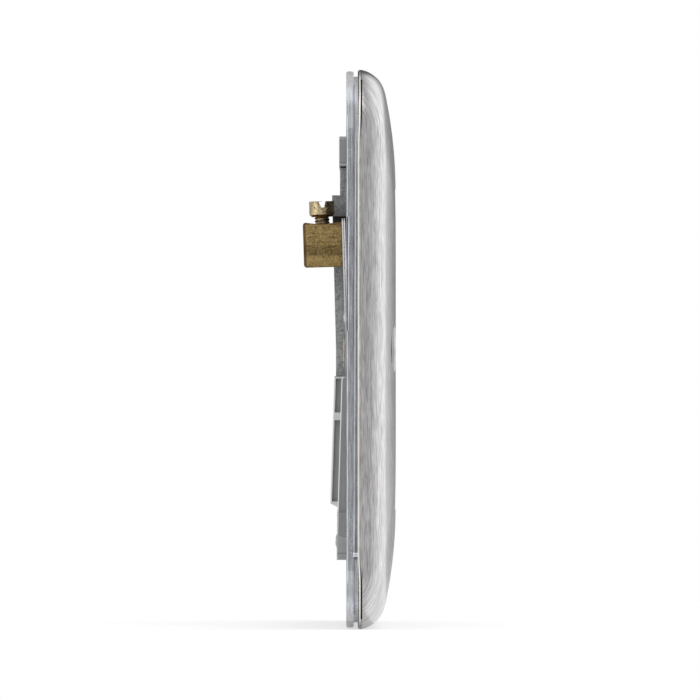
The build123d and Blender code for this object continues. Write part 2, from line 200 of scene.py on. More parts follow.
class NodeKit:
    """A node tree with short ways to add nodes to it."""

    def __init__(self, tree: bpy.types.NodeTree) -> None:
        """Take the tree and empty it.

        Args:
            tree: The node tree of a material or of the world.
        """
        self.tree = tree
        tree.nodes.clear()

    def add(self, kind: str, settings: dict, inputs: dict) -> bpy.types.Node:
        """Add a node.

        Args:
            kind: Its type.
            settings: Its own settings, set first. A ramp's stops go under "stops".
            inputs: Values or links of its sockets, by name or place.

        Returns:
            The node.
        """
        made = self.tree.nodes.new(kind)
        for name, value in settings.items():
            if name == "stops":
                self._stops(made.color_ramp, value)
            else:
                setattr(made, name, value)
        for key, value in inputs.items():
            self.feed(made.inputs[key], value)
        return made

    def node(self, kind: str, settings: dict, inputs: dict, output: int | str = 0) -> Sock:
        """Add a node and take one output.

        Args:
            kind: Its type.
            settings: Its own settings.
            inputs: Values or links of its sockets.
            output: The output's name or place.

        Returns:
            That output.
        """
        return Sock(self, self.add(kind, settings, inputs).outputs[output])

    def feed(self, socket: bpy.types.NodeSocket, value: "Sock | float | Colour") -> None:
        """Link or set an input socket.

        Args:
            socket: The input.
            value: A wrapped output, a number or a colour.
        """
        if isinstance(value, Sock):
            self.tree.links.new(value.socket, socket)
        elif isinstance(value, tuple) and len(value) == 3 and socket.type == "RGBA":
            socket.default_value = (*value, 1.0)
        else:
            socket.default_value = value

    @staticmethod
    def _stops(ramp: bpy.types.ColorRamp, stops: list[tuple[float, Colour]]) -> None:
        """Set the stops of a colour ramp.

        Args:
            ramp: The ramp.
            stops: Place and colour of each stop, in order.
        """
        while len(ramp.elements) < len(stops):
            ramp.elements.new(1.0)
        for element, (place, colour) in zip(ramp.elements, stops):
            element.position = place
            element.color = (*colour, 1.0)

    def place(self) -> tuple[Sock, Sock, Sock]:
        """Object coordinates in millimetres, as X, Y and Z."""
        point = self.node("ShaderNodeTexCoord", {}, {}, "Object")
        return self.split(self.shade(point, 1.0 / MM))

    def split(self, vector: Sock) -> tuple[Sock, Sock, Sock]:
        """The three parts of a vector."""
        parts = self.add("ShaderNodeSeparateXYZ", {}, {0: vector})
        return tuple(Sock(self, output) for output in parts.outputs)

    def join(self, x: Value, y: Value, z: Value) -> Sock:
        """Vector of three values."""
        return self.node("ShaderNodeCombineXYZ", {}, {0: x, 1: y, 2: z})

    def noise(self, point: Sock, scale: float, detail: float = 2.0, rough: float = 0.5) -> Sock:
        """Noise from 0 to 1, about 0.5.

        Args:
            point: Where it is read, in millimetres.
            scale: Waves in a millimetre.
            detail: Octaves.
            rough: Share that each finer octave keeps.

        Returns:
            The noise.
        """
        values = {"Vector": point, "Scale": scale, "Detail": detail, "Roughness": rough}
        return self.node("ShaderNodeTexNoise", {}, values)

    def mix(self, factor: Value, first: Value, second: Value) -> Sock:
        """Blend two colours.

        Args:
            factor: 0 gives the first and 1 the second.
            first: A colour or a link.
            second: A colour or a link.

        Returns:
            The blended colour.
        """
        settings = {"data_type": "RGBA"}
        return self.node("ShaderNodeMix", settings, {"Factor": factor, 6: first, 7: second}, 2)

    def shade(self, colour: Value, light: Value) -> Sock:
        """Multiply a colour or a vector by one value."""
        inputs = {0: colour, "Scale": light}
        return self.node("ShaderNodeVectorMath", {"operation": "SCALE"}, inputs)

    def edges(self, radius: float, samples: int = 4) -> tuple[Sock, Sock]:
        """Rounded edges.

        Args:
            radius: Radius of the rounding in metres.
            samples: Rays of the rounding.

        Returns:
            The rounded normal, and a value that grows from 0 on the flats to 1 on the edges.
        """
        rounded = self.node("ShaderNodeBevel", {"samples": samples}, {"Radius": radius})
        flat = self.node("ShaderNodeNewGeometry", {}, {}, "True Normal")
        settings = {"operation": "DOT_PRODUCT"}
        along = self.node("ShaderNodeVectorMath", settings, {0: rounded, 1: flat}, "Value")
        return rounded, (1.0 - along).rise(0.01, 0.16)

    def bump(self, height: Sock, depth: float, normal: Sock | None = None) -> Sock:
        """Bump from a height.

        Args:
            height: The height, from 0 to 1.
            depth: What a height of 1 stands for, in metres.
            normal: A normal that it adds to.

        Returns:
            The bumped normal.
        """
        inputs: dict = {"Height": height, "Distance": depth, "Strength": 1.0}
        if normal is not None:
            inputs["Normal"] = normal
        return self.node("ShaderNodeBump", {}, inputs)


def corner_reach(x: Sock, z: Sock, centre: float) -> Sock:
    """Distance out from the corners' centres, or from the straights between them.

    Args:
        x: First coordinate, in millimetres.
        z: Height, in millimetres.
        centre: Distance of the centres from the middle planes.

    Returns:
        The distance, 0 further in.
    """
    across = abs(x).over(centre)
    along = abs(z).over(centre)
    return (across * across + along * along).root()


def summed(marks: dict[str, Sock], shares: dict[str, float], start: float | Sock = 0.0) -> Sock:
    """Add up marks, each by its share.

    Args:
        marks: The marks by name.
        shares: How much of each one counts.
        start: What they are added to.

    Returns:
        The sum.
    """
    return sum((marks[name] * share for name, share in shares.items()), start)


@dataclass(frozen=True)
class Stripe:
    """A soft stripe across one coordinate, in millimetres.

    Attributes:
        middle: Where it lies.
        half: Half its width.
        soft: How far its edges fade.
    """

    middle: float
    half: float
    soft: float

    def on(self, value: Sock) -> Sock:
        """The stripe on a coordinate, 1 at its middle."""
        return value.band(self.middle, self.half, self.soft)


@dataclass(frozen=True)
class Fade:
    """A smooth step along one coordinate.

    Attributes:
        start: Where it is 0.
        end: Where it is 1.
    """

    start: float
    end: float

    def on(self, value: Sock) -> Sock:
        """The step on a coordinate."""
        return value.rise(self.start, self.end)


@dataclass(frozen=True)
class Grain:
    """Noise of one scale, from 0 to 1.

    Attributes:
        scale: Waves in a millimetre.
        detail: Octaves.
        rough: Share that each finer octave keeps.
        stretch: What each coordinate is multiplied by, under 1 where the noise is drawn out.
    """

    scale: float
    detail: float = 2.0
    rough: float = 0.5
    stretch: tuple[float, float, float] = (1.0, 1.0, 1.0)

    def on(self, kit: NodeKit, *point: Sock) -> Sock:
        """The noise at a point.

        Args:
            kit: The material's nodes.
            point: Its three coordinates, in millimetres.

        Returns:
            The noise.
        """
        inputs = {0: kit.join(*point), 1: self.stretch}
        drawn = kit.node("ShaderNodeVectorMath", {"operation": "MULTIPLY"}, inputs)
        return kit.noise(drawn, self.scale, self.detail, self.rough)


@dataclass(frozen=True)
class Finish:
    """What one kind of surface looks like.

    Attributes:
        name: The material's name.
        colour: Its plain colour, linear.
        roughness: Its plain roughness.
        metallic: 1 for metal.
    """

    name: str
    colour: Colour
    roughness: float = 0.4
    metallic: float = 0.0

    def material(self) -> bpy.types.Material:
        """Build the material.

        Returns:
            The material, with its nodes.
        """
        made = bpy.data.materials.new(self.name)
        made.use_nodes = True
        made.diffuse_color = (*self.colour, 1.0)
        kit = NodeKit(made.node_tree)
        plain = {"Base Color": self.colour, "Roughness": self.roughness, "Metallic": self.metallic}
        surface = kit.add("ShaderNodeBsdfPrincipled", {}, plain)
        for name, value in self.dress(kit).items():
            kit.feed(surface.inputs[name], value)
        kit.add("ShaderNodeOutputMaterial", {}, {"Surface": Sock(kit, surface.outputs[0])})
        return made

    def dress(self, kit: NodeKit) -> "dict[str, Value]":
        """Sockets of the surface that this finish sets.

        Args:
            kit: The material's nodes, not used here.

        Returns:
            Values or links by socket name.
        """
        return {}


@dataclass(frozen=True)
class Metal(Finish):
    """What one kind of metal looks like."""

    metallic: float = 1.0


@dataclass(frozen=True)
class BrushedSteel(Metal):
    """Stainless sheet brushed along its height, its streaks lying in planes across X.

    Attributes:
        streak: Width of a streak in millimetres.
        length: Length of a streak in millimetres.
        contrast: How much the streaks lighten and darken.
        depth: Depth of the scratches in metres.
        bead: Depth of the painted highlight along the rolled edge, in millimetres.
        slit: Depth of the corner slits' middle.
        corner_centre: Distance of the corners' centres from the middle planes.
        skirt: Radius of the corners at the skirt.
        hole: Distance of the fixing holes from the middle plane.
        countersink: Radius of their countersinks.
        flank: Distances over which the streaks gain contrast towards the sides.
        bend: Spread of the streaks round the shoulder, by the root of the distance inwards.
        drop: Spread of the streaks down the skirt, by the depth behind its top.
        skirt_top: Depth where the skirt meets the shoulder.
        slit_ends: Heights over which the slits open.
        rim_ends: Heights over which the rolled edge moves to the front.
        rim_shift: How far it moves.
        knob: Heights over which the rolled metal turns dark and lumpy.
        knob_depth: Depths over which it does.
        slit_dark: How much the slits darken, as painted shade.
        seat_dark: How much the countersinks darken, as painted shade.
        rolled: Colour of the painted highlight along the rolled edge.
    """

    streak: float = 0.2
    length: float = 2.6
    contrast: float = 2.5
    depth: float = 2.0e-6
    bead: float = -1.88
    slit: float = -2.33
    corner_centre: float = 35.0
    skirt: float = 8.0
    hole: float = 30.15
    countersink: float = 3.6
    flank: Fade = Fade(36.0, 40.5)
    bend: float = 2.9
    drop: float = 1.2
    skirt_top: float = -2.3
    slit_ends: Fade = Fade(33.0, 36.5)
    rim_ends: Fade = Fade(30.5, 36.5)
    rim_shift: float = 0.25
    knob: Fade = Fade(41.7, 42.3)
    knob_depth: Fade = Fade(-2.4, -2.2)
    slit_dark: float = 0.94
    seat_dark: float = 0.32
    rolled: Colour = linear(236, 231, 222)

    def brushing(self, kit: NodeKit, x: Sock, y: Sock, z: Sock) -> tuple[Sock, Sock]:
        """Streaks whose width is measured round the section, so that they fan out at the corners.

        Args:
            kit: The material's nodes.
            x: First coordinate, in millimetres.
            y: Depth.
            z: Height.

        Returns:
            The streaks, and the longer ones among them alone.
        """
        inwards = self.corner_centre + self.skirt + 0.02 - abs(x)
        profile = inwards.over(0.0).root() * self.bend - y.over(self.skirt_top) * self.drop
        other_side = x.above(0.0) * 100.0
        across = abs(x) * 0.6 - profile + other_side
        waves = 1.0 / self.streak
        wide = Grain(waves, 3, 0.6, (1.0, 0.02, 0.04)).on(kit, across, y, z)
        drawn = (1.0, 0.02, self.streak / self.length)
        fine = Grain(1.15 * waves, 2, 0.6, drawn).on(kit, across, y, z)
        slow = Grain(0.5, 2, 0.5, (1.0, 0.0, 0.1)).on(kit, across, y, z)
        return wide * 0.3 + fine * 0.62 + slow * 0.08, wide

    def rim_marks(self, x: Sock, y: Sock, z: Sock) -> dict[str, Sock]:
        """Slits at the corners and a line in front of the rolled edge, darkened as painted shade,
        and the rolled edge with its painted highlight.

        Args:
            x: First coordinate, in millimetres.
            y: Depth.
            z: Height.

        Returns:
            The marks by name.
        """
        out = corner_reach(x, z, self.corner_centre)
        inside = out.rise(self.skirt - 0.05, self.skirt - 0.12) * out.above(self.skirt - 0.6)
        ends = self.rim_ends.on(abs(z))
        moved = y + ends * self.rim_shift
        groove = Stripe(self.bead - 0.19, 0.03, 0.05).on(moved)
        hem = Stripe(self.bead - 0.03, 0.04, 0.03).on(y)
        # The slits and the line in front of the rolled edge are painted shade; the edge itself is a
        # painted highlight.
        return {
            "slits": inside * Stripe(self.slit, 0.15, 0.02).on(y) * self.slit_ends.on(abs(z)),
            "edge": Stripe(self.bead, 0.06, 0.04).on(moved),
            "under": (groove + ends * hem).clamped() * (0.3 + ends * 0.3),
            "knobs": self.knob.on(abs(z)) * self.knob_depth.on(y),
        }

    def dress(self, kit: NodeKit) -> "dict[str, Value]":
        """Streaked colour and roughness, fine scratches, a painted highlight along the rolled edge,
        and painted shade in the slits, in front of the rolled edge and in the countersinks.

        Args:
            kit: The material's nodes.

        Returns:
            Values or links by socket name.
        """
        x, y, z = kit.place()
        streaks, wide = self.brushing(kit, x, y, z)
        marks = self.rim_marks(x, y, z)
        slits, edge, knobs = marks["slits"], marks["edge"], marks["knobs"]
        beside = abs(x) - self.hole
        edge_of_seat = self.countersink**2
        # Painted shade: the countersinks are darkened, and their streaks taken out.
        seat = (beside * beside + z * z).rise(edge_of_seat + 0.3, edge_of_seat)
        contrast = (1.0 - seat) * (0.6 + self.flank.on(abs(x)) * 0.4) * self.contrast
        lumps = knobs * wide.rise(0.4, 0.56)
        light = (streaks - 0.5) * contrast + 1.0
        # Painted shade in front of the rolled edge, in the slits and in the countersinks; the lumps
        # darken the rolled ends.
        for mark, amount in (
            (marks["under"], 1.0), (slits, self.slit_dark), (seat, self.seat_dark), (lumps, 0.75),
        ):
            light = light * (1.0 - mark * amount)
        colour = kit.shade(self.colour, light)
        roughness = self.roughness + (wide - 0.5) * 0.3 + slits * 0.4 + seat * 0.2
        return {
            # Painted highlight along the rolled edge, mixed towards its bright colour.
            "Base Color": kit.mix(edge * (1.0 - knobs) * 0.85, colour, self.rolled),
            "Roughness": roughness.clamped(),
            "Metallic": 1.0 - slits * 0.9 - edge * 0.6,
            "Normal": kit.bump(streaks, self.depth),
        }


@dataclass(frozen=True)
class ClearGasket(Finish):
    """Frosted clear moulding that lets what lies behind it show.

    Attributes:
        cover: How much of what lies behind is covered.
        level: Its plain tone, as a share of its colour.
        outer: Distance of the outer edge from the middle plane, in millimetres.
        centre: Distance of the corners' centres from the middle planes.
        rim: Width of the edge that is seen from the side.
        step: The painted highlight along the step behind the rim, by depth.
        tilt: How far the step leans to the front for its height.
        clear: Heights over which nothing lies behind any more.
        corner: Heights of the corners that catch the light, as a painted highlight.
        tips: Heights over which the ends darken.
        ripple: The rippled stretch near the lower end, by height.
        mark: Moulding mark on the edge, by height.
        mark_depth: The same, by depth.
        mark_line: Width of the mark's outline.
        glint: The painted glint of two bright bars beside the frame's lower end, by height.
        glint_depth: The same, by depth.
        neck: The thin painted highlight along the spigot, by depth.
        spigot: Depths over which the spigot starts, behind which it is lightened as painted light.
        strap: The stretch beside the strap, where the edge lies in painted shadow, by height.
        strap_side: Distances over which that stretch starts.
        painted_shadow: Depth behind which the painted shadow lies.
        rear_line: The painted highlight along the rear edge, by depth.
        strap_line: The same beside the strap.
        lines: Fine drawn lines along the edge.
        grain: Its frosting.
        swirl: What bends the ripples.
    """

    # Shares of the marks. Painted highlights: bright, step, neck, line and bars; painted shade:
    # shade, bar shade and the shadow beside the strap.
    LIGHTEN: ClassVar[dict[str, float]] = {
        "lines": 2.4, "grain": 0.9, "waves": 0.45, "bright": 1.4, "step": 1.2, "shade": -0.35,
        "neck": 1.0, "line": 0.8, "painted_shadow": -0.9, "mark": 0.35, "bars": 1.8, "bar shade": -0.7,
    }
    COVER: ClassVar[dict[str, float]] = {
        "lines": 0.3, "bright": 0.5, "step": 0.4, "shade": 0.35, "neck": 0.3, "line": 0.3,
        "painted_shadow": 1.0, "bars": 0.4, "bar shade": 0.4,
    }

    cover: float = 0.55
    level: float = 0.97
    outer: float = 42.75
    centre: float = 35.0
    rim: float = 1.2
    step: Stripe = Stripe(-1.33, 0.07, 0.05)
    tilt: float = 0.004
    clear: Fade = Fade(31.0, 33.0)
    corner: Stripe = Stripe(38.9, 0.3, 1.9)
    tips: Fade = Fade(39.6, 41.4)
    ripple: Stripe = Stripe(-28.5, 2.4, 1.8)
    mark: Stripe = Stripe(30.1, 0.58, 0.05)
    mark_depth: Stripe = Stripe(-0.58, 0.33, 0.05)
    mark_line: float = 0.16
    glint: Stripe = Stripe(-31.5, 0.28, 0.03)
    glint_depth: Stripe = Stripe(-1.45, 0.34, 0.04)
    neck: Stripe = Stripe(-1.72, 0.04, 0.04)
    spigot: Fade = Fade(-1.2, -1.4)
    strap: Stripe = Stripe(11.6, 8.6, 0.4)
    strap_side: Fade = Fade(-40.0, -41.0)
    painted_shadow: float = -0.26
    rear_line: Stripe = Stripe(-0.17, 0.05, 0.05)
    strap_line: Stripe = Stripe(-0.35, 0.05, 0.04)
    lines: Grain = Grain(5.2, 3, 0.7, (0.05, 1.0, 0.04))
    grain: Grain = Grain(7.0, 2, 0.5, (1.0, 1.0, 0.5))
    swirl: Grain = Grain(1.7, 3, 0.7, (1.0, 1.4, 1.0))

    def edge_marks(self, x: Sock, y: Sock, z: Sock, rim: Sock) -> dict[str, Sock]:
        """What lies along the outer edge: painted highlights on the corners, a moulding mark, and a
        painted highlight line with a painted shadow beside the strap.

        Args:
            x: First coordinate, in millimetres.
            y: Depth.
            z: Height.
            rim: 1 on the outer edge.

        Returns:
            The marks by name.
        """
        outline = Stripe(self.mark.middle, self.mark.half - self.mark_line, self.mark.soft).on(z)
        outline = outline * Stripe(self.mark_depth.middle, 0.2, self.mark_depth.soft).on(y)
        face = abs(x).above(self.outer - 0.06)
        # Painted shadow of the strap on the edge beside it.
        beside = self.strap.on(z) * self.strap_side.on(x) * rim
        line = beside * self.strap_line.on(y) + (1.0 - beside) * self.rear_line.on(y)
        tips = self.tips.on(abs(z)) * rim
        # bright is a painted highlight on the corners, less at the tips; line is a painted
        # highlight along the rear edge.
        return {
            "bright": self.corner.on(abs(z)) * (0.3 * rim + 0.05) - tips * 0.16,
            "mark": (self.mark.on(z) * self.mark_depth.on(y) - outline) * rim,
            "painted_shadow": beside * y.above(self.painted_shadow) * face,
            "line": line * face,
        }

    def step_marks(self, y: Sock, z: Sock) -> dict[str, Sock]:
        """What lies along the step and the spigot: painted highlight and shade lines, painted light
        on the spigot, and a painted glint of two bars with painted shade under them.

        Args:
            y: Depth, in millimetres.
            z: Height.

        Returns:
            The marks by name.
        """
        clear = self.clear.on(abs(z))
        deep = y + z * self.tilt
        split = Stripe(self.glint.middle, 0.04, 0.03).on(z)
        below = Stripe(self.glint.middle - 0.5, 0.17, 0.03).on(z)
        deep_bars = self.glint_depth.on(y)
        # Painted highlight on the step with painted shade behind it, painted highlight and light on
        # the spigot, and a painted glint with shade under it.
        return {
            "step": self.step.on(deep) * (1.0 - clear * 0.85),
            "shade": Stripe(self.step.middle - 0.19, 0.05, 0.04).on(deep) * (1.0 - clear * 0.7),
            "neck": self.neck.on(y) + self.spigot.on(y) * (0.08 + clear * 0.6),
            "bars": (self.glint.on(z) - split) * deep_bars,
            "bar shade": below * deep_bars,
        }

    def dress(self, kit: NodeKit) -> "dict[str, Value]":
        """Fine drawn lines, painted highlights on the corners, step, spigot and rear edge, painted
        shade, a moulding mark and a rippled stretch.

        Args:
            kit: The material's nodes.

        Returns:
            Values or links by socket name.
        """
        x, y, z = kit.place()
        rim = corner_reach(x, z, self.centre).above(self.outer - self.centre - self.rim)
        side = rim * 0.9 + 0.1
        frosting = self.grain.on(kit, x, y, z) - 0.5
        ripples = ((z - y * 0.8) * 11.0 + self.swirl.on(kit, x, y, z) * 30.0).sine()
        marks = {
            "lines": (self.lines.on(kit, x, y, z) - 0.5) * side,
            "grain": frosting * side,
            "waves": ripples * self.ripple.on(z) * rim,
            **self.edge_marks(x, y, z, rim),
            **self.step_marks(y, z),
        }
        return {
            "Base Color": kit.shade(self.colour, summed(marks, self.LIGHTEN, self.level)),
            "Roughness": self.roughness + frosting * 0.2,
            "Alpha": summed(marks, self.COVER, self.cover).clamped(),
            "Normal": kit.bump(frosting, 6.0e-6),
        }


@dataclass(frozen=True)
class GreyMoulding(Finish):
    """Grey plastic, spark-eroded on its side walls and smooth elsewhere, with edges lightened as
    painted highlights.

    Attributes:
        edge: Radius of the rounded edges, lightened as painted highlights, in metres.
        texture: Depth of the texture in metres.
        wall: Distance of the side walls' outer faces from the middle plane, in millimetres.
        wall_thickness: How far in from those faces the walls still count as outer.
        clip: Distance of the clip wedges' outer faces.
        pocket: Depth of the pockets in them, whose floors are lightened as painted light.
        cheek: Distance of the cheeks' outer faces.
        wing: Distance of the upper end block's side faces.
        wing_depth: Depth behind which those faces catch the light, as a painted highlight.
        clip_top: Height where the clips start.
        recess: The recess in the side walls, darkened as painted shade, by height.
        slot: The slot under the upper end block, darkened as painted shade, by height.
        foot: Distance of the lower end block's side faces.
        foot_top: Height where the lower end block starts.
        foot_edge: Height down to which its rear edge carries a painted highlight.
        arc: Height of the arc across its side faces, at depth 0.
        arc_curve: How far the arc drops for the square of its depth.
        joint: The dark line near its underside, by height.
        boss: The boss beside it, by height.
        boss_depth: Depth behind which the boss stands out.
        edge_depth: Depth of the cheek's rear edge where the clips start.
        edge_rise: How far that edge rises to the rear for its depth below there.
        speckle: The spark-eroded texture.
        cloud: Slow changes of tone.
        drawn: Lines along the smooth faces.
        lit: Colour of the painted highlights on the edges.
    """

    # LIT marks are painted highlights, mixed towards the lit colour; LIGHTEN adds painted light in
    # the pockets and lightens the lower block's base.
    LIT: ClassVar[dict[str, float]] = {
        "skin": 1.0, "corner": 1.0, "band": 1.0, "wing": 0.35, "lip": 0.4, "seam": 0.5,
        "boss": 0.6,
    }
    LIGHTEN: ClassVar[dict[str, float]] = {"sunk": 0.3, "base": 0.3}
    DARKEN: ClassVar[dict[str, float]] = {"joint": 0.4, "line": 0.3}

    edge: float = 0.1 * MM
    texture: float = 16.0e-6
    wall: float = 26.4
    wall_thickness: float = 0.9
    clip: float = 29.4
    pocket: float = 0.8
    cheek: float = 30.2
    wing: float = 31.6
    wing_depth: float = -0.4
    clip_top: float = -4.2
    recess: Stripe = Stripe(20.05, 0.5, 0.03)
    slot: Stripe = Stripe(28.12, 0.15, 0.03)
    foot: float = 31.0
    foot_top: float = -25.2
    foot_edge: float = -28.6
    arc: float = -29.1
    arc_curve: float = 0.25
    joint: Stripe = Stripe(-31.4, 0.07, 0.05)
    boss: Stripe = Stripe(-29.75, 1.4, 0.05)
    boss_depth: float = 1.42
    edge_depth: float = 0.72
    edge_rise: float = 0.0298
    speckle: Grain = Grain(4.6, 2, 0.75)
    cloud: Grain = Grain(0.5)
    drawn: Grain = Grain(3.2, 3, 0.6, (0.3, 1.0, 0.03))
    lit: Colour = linear(208, 208, 208)

    def clip_marks(self, away: Sock, z: Sock) -> dict[str, Sock]:
        """Painted highlights on the skin and corners of the clips and cheeks, and painted light in
        their pockets.

        Args:
            away: Distance from the middle plane, in millimetres.
            z: Height.

        Returns:
            The marks by name.
        """
        clips = z.rise(self.clip_top + 0.1, self.clip_top)
        # skin and corner are painted highlights, sunk is painted light in the pockets.
        return {
            "skin": Stripe(self.clip - 0.1, 0.14, 0.02).on(away) * clips,
            "corner": Stripe(self.cheek - 0.09, 0.07, 0.01).on(away) * clips,
            "sunk": Stripe(self.clip - self.pocket, 0.1, 0.02).on(away) * clips,
        }

    def foot_marks(self, away: Sock, y: Sock, z: Sock) -> dict[str, Sock]:
        """Painted highlights along the rear edge and arc of the lower end block and on its boss,
        and its lighter base.

        Args:
            away: Distance from the middle plane, in millimetres.
            y: Depth.
            z: Height.

        Returns:
            The marks by name.
        """
        foot = away.above(self.foot - 0.02) * z.rise(self.foot_top + 0.1, self.foot_top)
        behind = y - (self.clip_top - z) * self.edge_rise - self.edge_depth
        arc = z - y * y * self.arc_curve
        # band is a painted highlight along the lower block's rear edge.
        return {
            "band": foot * Stripe(-0.1, 0.1, 0.03).on(behind) * z.above(self.foot_edge),
            "seam": foot * Stripe(self.arc, 0.05, 0.05).on(arc),
            "base": foot * arc.rise(self.arc, self.arc - 0.15),
            "joint": foot * self.joint.on(z),
            "boss": y.above(self.boss_depth) * self.boss.on(z),
        }

    def block_marks(self, away: Sock, y: Sock, z: Sock) -> dict[str, Sock]:
        """Painted highlights on the side faces and lip of the upper end block, and the line over
        its slot.

        Args:
            away: Distance from the middle plane, in millimetres.
            y: Depth.
            z: Height.

        Returns:
            The marks by name.
        """
        upper = z.above(0.0)
        ends = upper * y.above(self.wing_depth)
        ledge = away.above(self.wall + 1.0) * upper
        # wing and lip are painted highlights on the side faces and the lip.
        return {
            "wing": Stripe(self.wing - 0.24, 0.2, 0.01).on(away) * ends,
            "lip": ledge * Stripe(self.slot.middle + 0.38, 0.12, 0.04).on(z),
            "line": ledge * Stripe(self.slot.middle + 0.62, 0.05, 0.05).on(z),
        }

    def dress(self, kit: NodeKit) -> "dict[str, Value]":
        """Speckled walls, drawn lines on the clips, painted highlights on the edges, painted light
        in the pockets and painted shade in the grooves.

        Args:
            kit: The material's nodes.

        Returns:
            Values or links by socket name.
        """
        x, y, z = kit.place()
        away = abs(x)
        outer = away.above(self.wall - self.wall_thickness)
        rough = away.rise(self.wall + 1.0, self.wall + 0.6) * (outer * 0.65 + 0.35)
        speckle = self.speckle.on(kit, x, y, z)
        rounded, edge_mask = kit.edges(self.edge, 6)
        marks = {
            **self.clip_marks(away, z),
            **self.foot_marks(away, y, z),
            **self.block_marks(away, y, z),
        }
        # Painted shade in the recess, in the slot under the upper block, and on the wall just above
        # the recess.
        sunk = away.rise(self.wall - 0.02, self.wall - 0.08) * outer
        groove = sunk * (self.recess.on(z) * 0.85 + self.slot.on(z) * 0.75)
        top = self.recess.middle
        low = rough * z.rise(top + 3.0, top + 0.3) * z.above(0.0)
        shadow = (1.0 - groove) * (1.0 - summed(marks, self.DARKEN)) * (1.0 - low * 0.11)

        drawn = (self.drawn.on(kit, x, y, z) - 0.5) * (1.0 - rough)
        grain = (speckle - 0.5) * (rough * 2.9 + 0.25) + drawn * 0.6
        cloud = (self.cloud.on(kit, x, y, z) - 0.5) * 0.14
        # The rounded edges are lightened as a painted highlight.
        light = summed(marks, self.LIGHTEN, grain + cloud + 1.0) * shadow + edge_mask * 0.6
        # Painted highlights: the light edges are mixed towards the lit colour.
        edges = summed(marks, self.LIT).clamped() * 0.85
        return {
            "Base Color": kit.mix(edges, kit.shade(self.colour, light), self.lit),
            "Roughness": self.roughness + (speckle - 0.5) * 0.2,
            "Normal": kit.bump(speckle, self.texture, rounded),
        }


@dataclass(frozen=True)
class PlainMetal(Metal):
    """Drawn, turned or plated metal with fine marks.

    Attributes:
        grain: Marks in a millimetre.
        mottle: How much the colour wanders.
        depth: Depth of the marks in metres.
        stretch: How much the marks are drawn out along each axis.
        stain: Colour of the stains.
        stained: How much of the surface they take, from 0 to 1.
        outline: How much the edges darken.
        painted_shade_from: Depth in front of which the metal is darkened as painted shade, in
            millimetres.
        painted_shade_strength: How much that painted shade darkens.
        edge: Radius of the rounded edges, which the outline darkens, in metres.
        spots: Where the stains lie.
    """

    grain: float = 4.0
    mottle: float = 0.3
    depth: float = 6.0e-6
    stretch: tuple[float, float, float] = (1.0, 1.0, 1.0)
    stain: Colour = (0.05, 0.03, 0.02)
    stained: float = 0.0
    outline: float = 0.0
    painted_shade_from: float = -90.0
    painted_shade_strength: float = 0.55
    edge: float = 0.07 * MM
    spots: Grain = Grain(2.2, 2, 0.6)

    def dress(self, kit: NodeKit) -> "dict[str, Value]":
        """Mottled colour, stains and marks, darker edges, and painted shade in front of a given
        depth.

        Args:
            kit: The material's nodes.

        Returns:
            Values or links by socket name.
        """
        x, y, z = kit.place()
        marks = Grain(self.grain, 3, 0.6, self.stretch).on(kit, x, y, z)
        cloud = Grain(self.grain * 0.25, 2, 0.5, self.stretch).on(kit, x, y, z) - 0.5
        spots = self.spots.on(kit, x, y, z).rise(0.66 - 0.1 * self.stained, 0.74) * self.stained
        rounded, edge_mask = kit.edges(self.edge)
        # Painted shade in front of the given depth, its edge broken up by the cloud.
        side_shade = (y + cloud * 3.0).rise(self.painted_shade_from + 0.3, self.painted_shade_from - 0.3)
        light = (marks - 0.5 + cloud) * self.mottle + 1.0
        light = light * (1.0 - edge_mask * self.outline) * (1.0 - side_shade * self.painted_shade_strength)
        return {
            "Base Color": kit.mix(spots, kit.shade(self.colour, light), self.stain),
            "Roughness": (self.roughness + (marks - 0.5) * 0.3 + spots * 0.2).clamped(),
            "Normal": kit.bump(marks, self.depth, rounded),
        }


